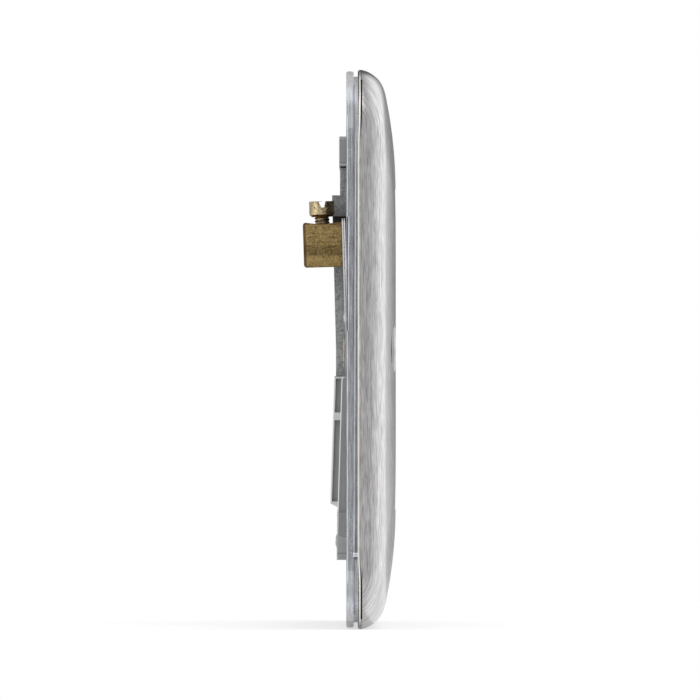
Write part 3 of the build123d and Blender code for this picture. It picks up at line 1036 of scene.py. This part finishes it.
@dataclass(frozen=True)
class PlatedStrip(Metal):
    """Bright plated strip, its sheared sides lined and specked.

    Attributes:
        centre: Distance of the strip's middle line from the middle plane, in millimetres.
        half: Half the strip's width.
        rear: Depth of the eye's rear face.
        bend: Height where the tongue starts to lean.
        slope: How far the tongue leans to the rear for its height.
        eye: Half the length of the eyelet's shadow.
        eye_shadow: How far in front of the rear face that shadow starts.
        top: Height of the tongue's end.
        end: Length of that end that is rounded, and sheared too.
        torn: The dark torn line along the sides, by depth in front of the rear face.
        torn_line: The thinner line in its middle.
        front: Depths over which the side darkens at the front face.
        burnished: The burnished line in front of the torn one, made bright as a painted highlight.
        rear_shine: The fainter one behind it.
        specks: Where the torn line is broken.
        marks: Fine marks of the faces.
        shine: Colour of the bright lines, painted highlights on the burnished metal.
    """

    centre: float = -30.15
    half: float = 3.5
    rear: float = 0.22
    bend: float = 3.6
    slope: float = 0.02968
    eye: float = 3.0
    eye_shadow: float = -0.13
    top: float = 20.3
    end: float = 1.2
    torn: Stripe = Stripe(-0.27, 0.05, 0.05)
    torn_line: Stripe = Stripe(-0.27, 0.03, 0.04)
    front: Fade = Fade(-0.49, -0.54)
    burnished: Stripe = Stripe(-0.42, 0.06, 0.04)
    rear_shine: Stripe = Stripe(-0.12, 0.07, 0.04)
    specks: Grain = Grain(3.6, 2, 0.7, (1.0, 2.0, 1.0))
    marks: Grain = Grain(6.0, 2, 0.6, (1.0, 1.0, 0.3))
    shine: Colour = linear(252, 252, 250)

    def dress(self, kit: NodeKit) -> "dict[str, Value]":
        """Burnished lines along the sheared sides made bright as painted highlights, torn lines,
        the eyelet's painted shadow, and faint marks on the faces.

        Args:
            kit: The material's nodes.

        Returns:
            Values or links by socket name.
        """
        x, y, z = kit.place()
        deep = y - self.rear - z.over(self.bend) * self.slope
        sides = abs(x - self.centre).above(self.half - 0.04)
        sheared = (sides + z.above(self.top - self.end)).clamped()
        specks = self.specks.on(kit, x, y, z).rise(0.52, 0.6) * self.torn.on(deep)
        shadow = deep.above(self.eye_shadow) * abs(z).rise(self.eye + 0.1, self.eye)
        lines = self.torn_line.on(deep) * 0.5 + self.front.on(deep)
        tip = z.rise(self.top - self.end - 0.1, self.top) * 0.4
        dark = (specks + shadow + lines + tip).clamped() * sheared
        # Painted highlights on the burnished bands of the sheared sides.
        shine = self.burnished.on(deep) + self.rear_shine.on(deep) * 0.6
        shine = shine * sheared * (1.0 - dark)
        marks = self.marks.on(kit, x, y, z)
        light = ((marks - 0.5) * 0.3 + 1.0) * (1.0 - dark * 0.92)
        return {
            "Base Color": kit.mix(shine, kit.shade(self.colour, light), self.shine),
            "Metallic": 1.0 - shine * 0.9,
            "Roughness": (self.roughness + (marks - 0.5) * 0.3 + sheared * 0.2).clamped(),
            "Normal": kit.bump(marks, 6.0e-6),
        }


@dataclass(frozen=True)
class SawnBrass(Metal):
    """Dull brass bar, sawn and tumbled, with a drawn band across it darkened as painted shade, and
    a painted highlight under it.

    Attributes:
        band: The dark band across it, painted shade, by height in millimetres.
        below: The lighter band under it, a painted highlight.
        rear: Depth of its rear face at its foot.
        foot: Height of its foot.
        head: Height of its top.
        slope: How far it leans to the rear for its height.
        edge: Radius of the tumbled edges in metres.
        relief: Depth of the marks in metres.
        patches: Where the brass turns olive.
        grains: Marks of the saw.
        drawn: Lines across it.
        specks: Where the dark specks lie.
        olive: Colour of the patches.
        border: Colour of the edges.
        stain: Colour of the specks.
    """

    band: Stripe = Stripe(15.25, 0.55, 0.5)
    below: Stripe = Stripe(14.0, 0.25, 0.35)
    rear: float = 6.45
    foot: float = 12.8
    head: float = 19.5
    slope: float = 0.02968
    edge: float = 0.35 * MM
    relief: float = 22.0e-6
    patches: Grain = Grain(1.1, 3, 0.6)
    grains: Grain = Grain(4.4, 2, 0.65, (2.0, 1.0, 1.3))
    drawn: Grain = Grain(3.0, 2, 0.6, (0.1, 0.15, 1.0))
    specks: Grain = Grain(2.9, 3, 0.7)
    olive: Colour = linear(158, 138, 88)
    border: Colour = linear(84, 52, 40)
    stain: Colour = linear(62, 42, 22)

    def dress(self, kit: NodeKit) -> "dict[str, Value]":
        """Mottled brown and olive, dark specks, a band of painted shade with a painted highlight
        under it, and reddish edges.

        Args:
            kit: The material's nodes.

        Returns:
            Values or links by socket name.
        """
        x, y, z = kit.place()
        patches = self.patches.on(kit, x, y, z)
        grains = self.grains.on(kit, x, y, z)
        drawn = self.drawn.on(kit, x, y, z)
        specks = self.specks.on(kit, x, y, z).rise(0.6, 0.68)
        shade = (grains - 0.5) * 2.6 + (patches - 0.5) * 0.6 + (drawn - 0.5) * 1.1 + 1.0
        # Painted shade on the band, and a painted highlight under it.
        light = shade * (1.0 - self.band.on(z) * 0.36) * (1.0 + self.below.on(z) * 0.1)
        tinted = kit.mix(patches.rise(0.3, 0.8), self.colour, self.olive)
        rounded, edge_mask = kit.edges(self.edge)
        behind = y - self.rear - (z - self.foot) * self.slope
        ends = behind.rise(-0.5, -0.2) * 0.85 + z.rise(self.head - 0.45, self.head - 0.2) * 0.6
        edges = (edge_mask + ends.clamped()).clamped() * 0.8
        colour = kit.mix(edges, kit.shade(tinted, light), self.border)
        return {
            "Base Color": kit.mix(specks * 0.75, colour, self.stain),
            "Roughness": (self.roughness + (grains - 0.5) * 0.4).clamped(),
            "Normal": kit.bump(grains + patches, self.relief, rounded),
        }


class Slot(Enum):
    """Material slots of the record, by what each one is."""

    PLATE = "brushed_plate"
    GASKET = "clear_gasket"
    MOULDING = "grey_moulding"
    STUD = "stud_steel"
    SPRING = "spring_steel"
    STRAP = "plated_strap"
    EYELET = "eyelet_brass"
    BLOCK = "terminal_brass"
    SCREW = "screw_brass"


class Body(Enum):
    """Bodies of the model."""

    PLATE = "plate"
    SCREW = "terminal_screw"


@dataclass
class Lamp:
    """A soft rectangular lamp that points at the object.

    Attributes:
        name: Its name.
        direction: Direction from the object to the lamp.
        power: Its strength in watts.
        size: Width and height in metres.
        distance: How far it stands from the object, in metres.
        colour: Colour of its light.
        gloss: Whether it shows in polished surfaces.
    """

    name: str
    direction: tuple[float, float, float]
    power: float
    size: tuple[float, float]
    distance: float = 0.7
    colour: Colour = (1.0, 1.0, 1.0)
    gloss: bool = True

    def build(self) -> None:
        """Make the lamp and turn it towards the object."""
        data = bpy.data.lights.new(self.name, "AREA")
        data.shape = "RECTANGLE"
        data.size, data.size_y = self.size
        data.energy = self.power
        data.color = self.colour
        lamp = bpy.data.objects.new(self.name, data)
        away = Vector(self.direction).normalized()
        lamp.location = away * self.distance
        lamp.rotation_euler = away.to_track_quat("Z", "Y").to_euler()
        lamp.visible_camera = False
        lamp.visible_glossy = self.gloss
        bpy.context.scene.collection.objects.link(lamp)


@dataclass
class Studio:
    """Floor, surround, lamps and camera.

    Attributes:
        distance: From the origin to the camera, in metres.
        near_side: How far the nearer outlines stand from the middle plane towards the camera.
        view_width: Width of the view at the nearer outlines, in metres.
        aim: The view's centre as Y and Z, in metres.
        sensor: Width of the camera's sensor in millimetres.
        floor_size: Side of the floor in metres.
        ambient: Even light of the room.
        poles: Height of a direction over which the surround turns to its tone at the poles.
        pole_tone: Tone of the surround in gloss, overhead and underfoot.
        foot: Where the object's sides meet the floor, as distances from the origin in millimetres.
        foot_turn: How much the floor's tone turns with the distance in front of that.
        paper: Grey of the floor.
        floor_tone: Least tone of the floor in gloss.
        floor_glow: How much of the plain background the floor shows beside the object.
        floor_fade: Distances over which it comes to show all of it, in millimetres.
        tones: Tone of the surround in gloss by the angle in plan, in degrees, where 0 is the
            object's left side, 90 its front and -90 its rear.
        lamps: The soft lamps.
    """

    distance: float = 2.5
    near_side: float = 0.037
    view_width: float = 0.10753
    aim: tuple[float, float] = (-0.00058, -0.00008)
    sensor: float = 36.0
    floor_size: float = 8.0
    ambient: float = 0.95
    poles: Fade = Fade(0.45, 0.95)
    pole_tone: float = 0.5
    foot: tuple[float, float] = (41.0, 5.0)
    foot_turn: float = 0.35
    paper: float = 0.86
    floor_tone: float = 0.3
    floor_glow: float = 0.6
    floor_fade: Fade = Fade(40.0, 220.0)
    tones: tuple[tuple[float, float], ...] = (
        (-180, 0.05), (-120, 0.7), (-60, 0.8), (0, 0.6), (55, 0.58), (78, 0.72),
        (104, 1.28), (150, 1.42), (158, 0.5), (166, 0.05), (180, 0.05),
    )
    lamps: list[Lamp] = field(default_factory=lambda: [
        Lamp("side softbox", (-0.7, -0.25, 0.95), 6.0, (1.0, 1.0), 1.4),
        Lamp("rear edge light", (-0.45, 0.85, 0.3), 3.0, (0.6, 1.0), 1.2),
        Lamp("front softbox", (0.2, -0.7, 0.9), 3.0, (0.8, 1.0), 1.3, gloss=False),
    ])

    def build(self, floor_level: float) -> None:
        """Make everything round the object.

        Args:
            floor_level: Height of the floor in metres.
        """
        scene = bpy.context.scene
        scene.view_settings.view_transform = "Standard"
        self._world()
        self._floor(floor_level)
        for lamp in self.lamps:
            lamp.build()
        self._camera()

    @staticmethod
    def _ray(kit: NodeKit, name: str) -> Sock:
        """1 for rays of one kind, by the name that Light Path gives it."""
        return Sock(kit, kit.add("ShaderNodeLightPath", {}, {}).outputs[name])

    def _seen(self, kit: NodeKit) -> Sock:
        """1 for rays that show the background, straight, in gloss or through clear pieces."""
        kinds = ("Is Camera Ray", "Is Glossy Ray", "Is Transmission Ray")
        return sum(self._ray(kit, kind) for kind in kinds).clamped()

    def _tone(self, kit: NodeKit, x: Sock, y: Sock) -> Sock:
        """Tone of the surround in gloss, by the direction in plan.

        Args:
            kit: The nodes of the world or of the floor.
            x: First coordinate of the direction.
            y: Second coordinate.

        Returns:
            The tone, where 1 is white.
        """
        turn = (y * -1.0).angle(x * -1.0) / (2.0 * math.pi) + 0.5
        stops = [(angle / 360.0 + 0.5, (tone / 2.0,) * 3) for angle, tone in self.tones]
        return kit.node("ShaderNodeValToRGB", {"stops": stops}, {0: turn}) * 2.0

    def _world(self) -> None:
        """White surround where it is seen, toned in gloss as soft boxes and a dark side are."""
        world = bpy.data.worlds.new("studio")
        bpy.context.scene.world = world
        world.use_nodes = True
        kit = NodeKit(world.node_tree)
        direction = kit.node("ShaderNodeTexCoord", {}, {}, "Generated")
        x, y, z = kit.split(direction)
        poles = self.poles.on(abs(z))
        tone = self._tone(kit, x, y) * (1.0 - poles) + poles * self.pole_tone
        glossy = self._ray(kit, "Is Glossy Ray")
        seen = self._seen(kit)
        light = seen * (1.0 - glossy + glossy * tone) + (1.0 - seen) * self.ambient
        shown = kit.node("ShaderNodeBackground", {}, {"Color": (1.0, 1.0, 1.0), "Strength": light})
        kit.add("ShaderNodeOutputWorld", {}, {0: shown})

    def _floor(self, level: float) -> None:
        """Plain pale floor that keeps the object's shadow.

        Args:
            level: Its height in metres.
        """
        half = self.floor_size / 2
        mesh = bpy.data.meshes.new("floor")
        around = ((-half, -half), (half, -half), (half, half), (-half, half))
        corners = [(across, along, level) for across, along in around]
        mesh.from_pydata(corners, [], [(0, 1, 2, 3)])
        floor = bpy.data.objects.new("floor", mesh)
        bpy.context.scene.collection.objects.link(floor)
        material = bpy.data.materials.new("floor paper")
        material.use_nodes = True
        kit = NodeKit(material.node_tree)
        x, y, _ = kit.place()
        away = (x * x + y * y).root()
        glossy = self._ray(kit, "Is Glossy Ray")
        before = y + self.foot[1]
        beside = abs(x).over(self.foot[0]) * x.sign() - before * self.foot_turn
        tone = self._tone(kit, beside, before).at_least(self.floor_tone)
        level_seen = 1.0 - glossy + glossy * tone
        paper = kit.node("ShaderNodeBsdfDiffuse", {}, {"Color": (self.paper,) * 3})
        inputs = {"Color": (1.0, 1.0, 1.0), "Strength": level_seen}
        white = kit.node("ShaderNodeEmission", {}, inputs)
        glow = self.floor_fade.on(away) * (1.0 - self.floor_glow) + self.floor_glow
        shown = self._seen(kit) * glow
        whole = kit.node("ShaderNodeMixShader", {}, {0: shown, 1: paper, 2: white})
        kit.add("ShaderNodeOutputMaterial", {}, {0: whole})
        mesh.materials.append(material)

    def _camera(self) -> None:
        """Long lens, level with the plate's middle, looking along the wall at its left side."""
        data = bpy.data.cameras.new("camera")
        data.sensor_width = self.sensor
        data.lens = self.sensor * (self.distance - self.near_side) / self.view_width
        data.clip_start = 0.1
        data.clip_end = 20.0
        camera = bpy.data.objects.new("camera", data)
        camera.location = (-self.distance, *self.aim)
        camera.rotation_euler = (math.radians(90), 0.0, math.radians(-90))
        bpy.context.scene.collection.objects.link(camera)
        bpy.context.scene.camera = camera


class Grower(NodeKit):
    """A Geometry Nodes tree with named inputs for its sizes, kept as a plain mesh."""

    def __init__(self, name: str) -> None:
        """Start a tree that takes a mesh and gives a mesh.

        Args:
            name: The tree's name.
        """
        super().__init__(bpy.data.node_groups.new(name, "GeometryNodeTree"))
        self.sizes: dict[str, float | int] = {}
        for way in ("INPUT", "OUTPUT"):
            self.tree.interface.new_socket("Geometry", in_out=way, socket_type="NodeSocketGeometry")
        self.entry = self.tree.nodes.new("NodeGroupInput")

    def size(self, name: str, value: float | int) -> Sock:
        """Add a named input.

        Args:
            name: What it sets.
            value: The size that it is given, in metres where it is a length.

        Returns:
            The input, for use in the tree.
        """
        kind = "NodeSocketInt" if isinstance(value, int) else "NodeSocketFloat"
        item = self.tree.interface.new_socket(name, in_out="INPUT", socket_type=kind)
        self.sizes[item.identifier] = value
        return Sock(self, self.entry.outputs[name])

    def circle(self, points: int, radius: "Sock | float") -> Sock:
        """Closed curve of a few points round the Z axis."""
        inputs = {"Resolution": points, "Radius": radius}
        return self.node("GeometryNodeCurvePrimitiveCircle", {}, inputs)

    def grow(self, piece: bpy.types.Object, grown: Sock, material: bpy.types.Material) -> None:
        """Run the tree on a piece, and keep what it grows joined to the piece's own mesh.

        Args:
            piece: The piece, already in the scene.
            grown: What the tree grows.
            material: The finish of the whole.
        """
        joined = self.add("GeometryNodeJoinGeometry", {}, {})
        for part in (Sock(self, self.entry.outputs["Geometry"]), grown):
            self.feed(joined.inputs[0], part)
        whole = self.node("GeometryNodeRealizeInstances", {}, {0: Sock(self, joined.outputs[0])})
        painted = self.node("GeometryNodeSetMaterial", {}, {0: whole, "Material": material})
        self.add("NodeGroupOutput", {}, {0: painted})
        modifier = piece.modifiers.new(self.tree.name, "NODES")
        modifier.node_group = self.tree
        for identifier, value in self.sizes.items():
            modifier[identifier] = value
        evaluated = piece.evaluated_get(bpy.context.evaluated_depsgraph_get())
        mesh = bpy.data.meshes.new_from_object(evaluated)
        piece.modifiers.remove(modifier)
        piece.data = mesh


@dataclass
class SubAssembly:
    """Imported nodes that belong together, and the finer pieces that go with them."""

    def finishes(self) -> dict[str, tuple[Slot, Finish]]:
        """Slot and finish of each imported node, by the node's name."""
        raise NotImplementedError

    def refine(self, materials: dict[str, bpy.types.Material]) -> None:
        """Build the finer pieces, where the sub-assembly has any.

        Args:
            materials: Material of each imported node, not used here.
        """

    def build(self) -> None:
        """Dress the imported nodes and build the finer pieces."""
        materials = {}
        for node, (slot, finish) in self.finishes().items():
            materials[node] = finish.material()
            for place in frame["nodes"][node].material_slots:
                place.material = materials[node]
            log.info("%s: %s, slot %s", node, finish.name, slot.value)
        self.refine(materials)

    @staticmethod
    def add_piece(name: str, mesh: bpy.types.Mesh) -> bpy.types.Object:
        """Put a mesh in the scene as a piece of its own."""
        piece = bpy.data.objects.new(name, mesh)
        bpy.context.scene.collection.objects.link(piece)
        return piece

    @staticmethod
    def merged_copy(node: str, crease: float = math.radians(32)) -> bpy.types.Mesh:
        """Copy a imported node's mesh with its loose triangles merged, smooth but for its creases.

        Args:
            node: The node's name.
            crease: Angle over which an edge stays sharp.

        Returns:
            The merged mesh.
        """
        shape = bmesh.new()
        shape.from_mesh(frame["nodes"][node].data)
        bmesh.ops.remove_doubles(shape, verts=shape.verts, dist=1e-7)
        for face in shape.faces:
            face.smooth = True
        for edge in shape.edges:
            edge.smooth = edge.calc_face_angle(0.0) < crease
        mesh = bpy.data.meshes.new(f"{node} merged")
        shape.to_mesh(mesh)
        shape.free()
        return mesh


@dataclass
class FacePlate(SubAssembly):
    """Pressed steel sheet with a crowned face and a rolled rim.

    Attributes:
        half: Half its side, in millimetres.
        corner: Radius of its corners at the skirt.
        rim: Depth of its rim.
        bead_lift: How far the painted highlight along the rolled edge lies in front of the rim.
        slit_lift: How far the middle of the corner slits lies in front of the rim.
    """

    half: float = 43.0
    corner: float = 8.0
    rim: float = -1.78
    bead_lift: float = 0.08
    slit_lift: float = 0.55

    def finishes(self) -> dict[str, tuple[Slot, Finish]]:
        """Brushed steel, its marks placed from the plate's sizes."""
        steel = BrushedSteel("brushed steel sheet", linear(195, 194, 194), 0.28,
                             bead=self.rim - self.bead_lift, slit=self.rim - self.slit_lift,
                             corner_centre=self.half - self.corner, skirt=self.corner)
        return {"front_plate": (Slot.PLATE, steel)}


@dataclass
class GasketRing(SubAssembly):
    """Clear moulding between the plate's rim and the wall.

    Attributes:
        half: Half its side, in millimetres.
        flange: Thickness of its flange.
        step_lift: How far the middle of the step's painted highlight lies in front of the flange.
    """

    half: float = 42.75
    flange: float = 1.15
    step_lift: float = 0.18

    def finishes(self) -> dict[str, tuple[Slot, Finish]]:
        """Frosted clear moulding, its step placed from the flange."""
        step = Stripe(-self.flange - self.step_lift, 0.07, 0.05)
        clear = ClearGasket("frosted clear moulding", linear(152, 155, 160), 0.3,
                            outer=self.half, step=step)
        return {"gasket": (Slot.GASKET, clear)}


@dataclass
class ModuleFrame(SubAssembly):
    """Plastic frame that the modules clip into, with the studs and washers that hold it.

    Attributes:
        wall: Distance of its side walls' outer faces from the middle plane, in millimetres.
        clip_width: How far its clip wedges stand out from the walls.
        cheek_width: How far its cheeks stand out.
        wing: Half the width of its upper end block.
    """

    wall: float = 26.4
    clip_width: float = 3.0
    cheek_width: float = 3.8
    wing: float = 31.6

    def finishes(self) -> dict[str, tuple[Slot, Finish]]:
        """Grey moulding, drawn studs and plated washers."""
        grey = GreyMoulding("grey moulding", linear(140, 142, 142), 0.55, wall=self.wall,
                            clip=self.wall + self.clip_width, cheek=self.wall + self.cheek_width,
                            wing=self.wing)
        stud = PlainMetal("drawn stud steel", linear(190, 186, 180), 0.35, stretch=(1.0, 0.2, 1.0))
        washer = PlainMetal("plated spring steel", linear(150, 150, 152), 0.3)
        return {
            "module_frame": (Slot.MOULDING, grey),
            "plate_studs": (Slot.STUD, stud),
            "stud_retainers": (Slot.SPRING, washer),
        }


@dataclass
class EarthStrap(SubAssembly):
    """Plated strip with an eye round the fixing hole, its eyelet and a pressed pip.

    Attributes:
        centre: Distance of its middle line from the middle plane, in millimetres.
        rear: Depth of its eye's rear face.
        bend: Height where its tongue starts to lean.
        slope: How far the tongue leans to the rear for its height.
        pip_height: Height of the pip's middle.
        pip: Half the pip's width, depth and height.
        tube: Radius of the eyelet's tube.
        curls: Number of tongues that the eyelet's rolled end has split into.
        curl_radius: Distance of the curls' middle from the hole's.
        curl_reach: Half the width of a curl.
        curl_thickness: Half the thickness of a curl.
        curl_depth: Depth of the curls' middle.
        curl_share: Share of its arc that each curl takes, the rest being the split beside it.
        uneven_turn: How far a curl may turn from its place, in radians.
        uneven_size: How much its size may differ.
        uneven_lift: How much its depth may differ.
        seed: Seed of the curls' unevenness.
    """

    centre: float = -30.15
    rear: float = 0.22
    bend: float = 3.6
    slope: float = 0.02968
    pip_height: float = 4.95
    pip: tuple[float, float, float] = (0.6, 0.19, 0.72)
    tube: float = 2.3
    curls: int = 8
    curl_radius: float = 2.4
    curl_reach: float = 0.26
    curl_thickness: float = 0.07
    curl_depth: float = 0.36
    curl_share: float = 0.86
    uneven_turn: float = 0.05
    uneven_size: float = 0.04
    uneven_lift: float = 0.3
    seed: int = 3

    def finishes(self) -> dict[str, tuple[Slot, Finish]]:
        """Bright plating, lined on its sheared sides, and a nickel-plated eyelet."""
        plating = PlatedStrip("bright zinc plating", linear(222, 224, 228), 0.3, centre=self.centre,
                              rear=self.rear, bend=self.bend, slope=self.slope)
        nickel = PlainMetal("nickel-plated brass", linear(228, 220, 194), 0.28,
                            grain=6.0, outline=0.4)
        return {"earth_strap": (Slot.STRAP, plating), "earth_eyelet": (Slot.EYELET, nickel)}

    def refine(self, materials: dict[str, bpy.types.Material]) -> None:
        """Build the pip and the eyelet's split end.

        Args:
            materials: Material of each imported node.
        """
        pip = self.press_pip(materials["earth_strap"])
        log.info("strap pip: %d faces", len(pip.data.polygons))
        eyelet = self.roll_eyelet(materials["earth_eyelet"])
        log.info("rolled eyelet: %d faces", len(eyelet.data.polygons))

    def press_pip(self, material: bpy.types.Material) -> bpy.types.Object:
        """Build the pip pressed out of the strap's rear face above its eye.

        Args:
            material: The strap's finish.

        Returns:
            The pip.
        """
        depth = self.rear + (self.pip_height - self.bend) * self.slope
        place = Matrix.Translation(Vector((self.centre, depth, self.pip_height)) * MM)
        shape = bmesh.new()
        bmesh.ops.create_uvsphere(shape, u_segments=28, v_segments=16, radius=1.0,
                                  matrix=place @ Matrix.Diagonal((*(Vector(self.pip) * MM), 1.0)))
        for face in shape.faces:
            face.smooth = True
        mesh = bpy.data.meshes.new("strap pip")
        shape.to_mesh(mesh)
        shape.free()
        mesh.materials.append(material)
        piece = self.add_piece("strap_pip", mesh)
        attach(piece, Body.PLATE.value)
        return piece

    def roll_eyelet(self, material: bpy.types.Material) -> bpy.types.Object:
        """Build the eyelet with its rolled end split into curls.

        Args:
            material: The eyelet's finish.

        Returns:
            The eyelet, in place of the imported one.
        """
        place = Matrix.Translation(Vector((self.centre, 0.0, 0.0)) * MM)
        place = place @ Matrix.Rotation(-math.pi / 2, 4, "X")
        mesh = self.merged_copy("earth_eyelet")
        mesh.transform(place.inverted())
        tube = self.tube * MM
        for point in mesh.vertices:
            out = point.co.to_2d().length
            if out > tube:
                point.co.xy *= tube / out
        piece = self.add_piece("rolled_eyelet", mesh)

        grower = Grower("split curls")
        count = grower.size("Curls", self.curls)
        radius = grower.size("Curl radius", self.curl_radius * MM)
        reach = grower.size("Curl reach", self.curl_reach * MM)
        thick = grower.size("Curl thickness", self.curl_thickness * MM)
        depth = grower.size("Curl depth", self.curl_depth * MM)
        seed = grower.size("Seed", self.seed)
        share = (2.0 * math.pi) / count
        arc = grower.node("GeometryNodeCurveArc", {}, {
            "Resolution": 12, 4: radius, "Start Angle": 0.0, "Sweep Angle": share * self.curl_share,
        })
        arc = grower.node("GeometryNodeSetCurveNormal", {"mode": "Z_UP"}, {0: arc})
        circle = grower.circle(10, 1.0)
        profile = grower.node("GeometryNodeTransform", {}, {
            0: circle, "Scale": grower.join(reach, thick, 1.0),
        })
        curl = grower.node("GeometryNodeCurveToMesh", {}, {0: arc, 1: profile, "Fill Caps": True})
        index = grower.node("GeometryNodeInputIndex", {}, {})
        uneven = grower.node("FunctionNodeRandomValue", {}, {2: -1.0, 3: 1.0, "Seed": seed}, 1)
        turn = index * share + uneven * self.uneven_turn
        rotation = grower.node("FunctionNodeAxisAngleToRotation", {}, {
            "Axis": (0.0, 0.0, 1.0), "Angle": turn,
        })
        centres = grower.node("GeometryNodePoints", {}, {
            "Count": count, "Position": grower.join(0.0, 0.0, depth),
        })
        size = uneven * self.uneven_size + 1.0
        ring = grower.node("GeometryNodeInstanceOnPoints", {}, {
            0: centres, "Instance": curl, "Rotation": rotation,
            "Scale": grower.join(size, size, 1.0 + uneven * self.uneven_lift),
        })
        grower.grow(piece, ring, material)
        piece.data.transform(place)
        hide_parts("earth_eyelet")
        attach(piece, Body.PLATE.value)
        return piece


@dataclass
class EarthTerminal(SubAssembly):
    """Sawn brass block and its slotted screw.

    Attributes:
        shank: Radius over the screw's thread, in millimetres.
        root: Radius at the thread's root.
        pitch: Rise of the thread in one turn.
        point: Length of the screw's plain point.
        turn_steps: Points along one turn of the thread.
        run_out: Share of the thread's length over which each end fades.
    """

    shank: float = 1.2
    root: float = 1.04
    pitch: float = 0.45
    point: float = 0.3
    turn_steps: int = 36
    run_out: float = 0.06

    def finishes(self) -> dict[str, tuple[Slot, Finish]]:
        """Dull sawn brass for the block and turned brass for the screw."""
        sawn = SawnBrass("sawn brass", linear(168, 142, 96), 0.42)
        turned = PlainMetal("turned brass", linear(188, 170, 134), 0.24, grain=3.6, mottle=1.8,
                            stretch=(1.0, 1.0, 1.4), stained=0.9, stain=linear(70, 46, 22),
                            depth=60.0e-6, outline=0.8, painted_shade_from=3.0)
        return {
            "earth_terminal_block": (Slot.BLOCK, sawn),
            "earth_terminal_screw": (Slot.SCREW, turned),
        }

    def refine(self, materials: dict[str, bpy.types.Material]) -> None:
        """Build the threaded screw.

        Args:
            materials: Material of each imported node.
        """
        screw = self.cut_screw(materials["earth_terminal_screw"])
        log.info("threaded screw: %d faces", len(screw.data.polygons))

    @staticmethod
    def screw_place(mesh: bpy.types.Mesh) -> Matrix:
        """Place of the screw's tip, with its axis along the joint that moves it."""
        axis = Vector(frame["joints"][0]["axis"]).normalized()
        lowest = min(point.co.dot(axis) for point in mesh.vertices)
        tip = [point.co for point in mesh.vertices if point.co.dot(axis) < lowest + NEAR]
        middle = sum(tip, Vector()) / len(tip)
        return Matrix.Translation(middle) @ axis.to_track_quat("Z", "X").to_matrix().to_4x4()

    def cut_screw(self, material: bpy.types.Material) -> bpy.types.Object:
        """Build the screw with a helical thread on its shank.

        Args:
            material: The screw's finish.

        Returns:
            The screw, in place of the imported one.
        """
        mesh = self.merged_copy("earth_terminal_screw")
        place = self.screw_place(mesh)
        mesh.transform(place.inverted())
        outside = self.shank * MM + NEAR
        under = min(point.co.z for point in mesh.vertices if point.co.to_2d().length > outside)
        for point in mesh.vertices:
            if point.co.z < under + NEAR and point.co.to_2d().length < outside:
                point.co.xy *= self.root / self.shank
        piece = self.add_piece("threaded_screw", mesh)

        grower = Grower("helical thread")
        pitch = grower.size("Pitch", self.pitch * MM)
        root = grower.size("Root radius", self.root * MM)
        ridge = grower.size("Ridge height", (self.shank - self.root) * MM)
        length = grower.size("Length", under - self.point * MM)
        start = grower.size("Start", self.point * MM)
        steps = grower.size("Steps in a turn", self.turn_steps)
        path = grower.node("GeometryNodeCurveSpiral", {}, {
            "Resolution": steps, "Rotations": length / pitch, "Start Radius": root,
            "End Radius": root, "Height": length, "Reverse": True,
        })
        path = grower.node("GeometryNodeTransform", {}, {
            0: path, "Translation": grower.join(0.0, 0.0, start),
        })
        path = grower.node("GeometryNodeSetCurveNormal", {"mode": "Z_UP"}, {0: path})
        profile = grower.circle(4, ridge)
        along = grower.node("GeometryNodeSplineParameter", {}, {})
        fade = (along / self.run_out).clamped() * ((1.0 - along) / self.run_out).clamped()
        thread = grower.node("GeometryNodeCurveToMesh", {}, {
            0: path, 1: profile, "Scale": fade, "Fill Caps": True,
        })
        grower.grow(piece, thread, material)
        piece.data.transform(place)
        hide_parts("earth_terminal_screw")
        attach(piece, Body.SCREW.value)
        return piece


def main() -> None:
    logging.basicConfig(level=logging.INFO, format="%(name)s: %(message)s")
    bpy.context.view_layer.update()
    for part in (FacePlate(), GasketRing(), ModuleFrame(), EarthStrap(), EarthTerminal()):
        log.info("building %s", type(part).__name__)
        part.build()
    Studio().build(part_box("front_plate")[0].z)


if __name__ == "__main__":
    main()
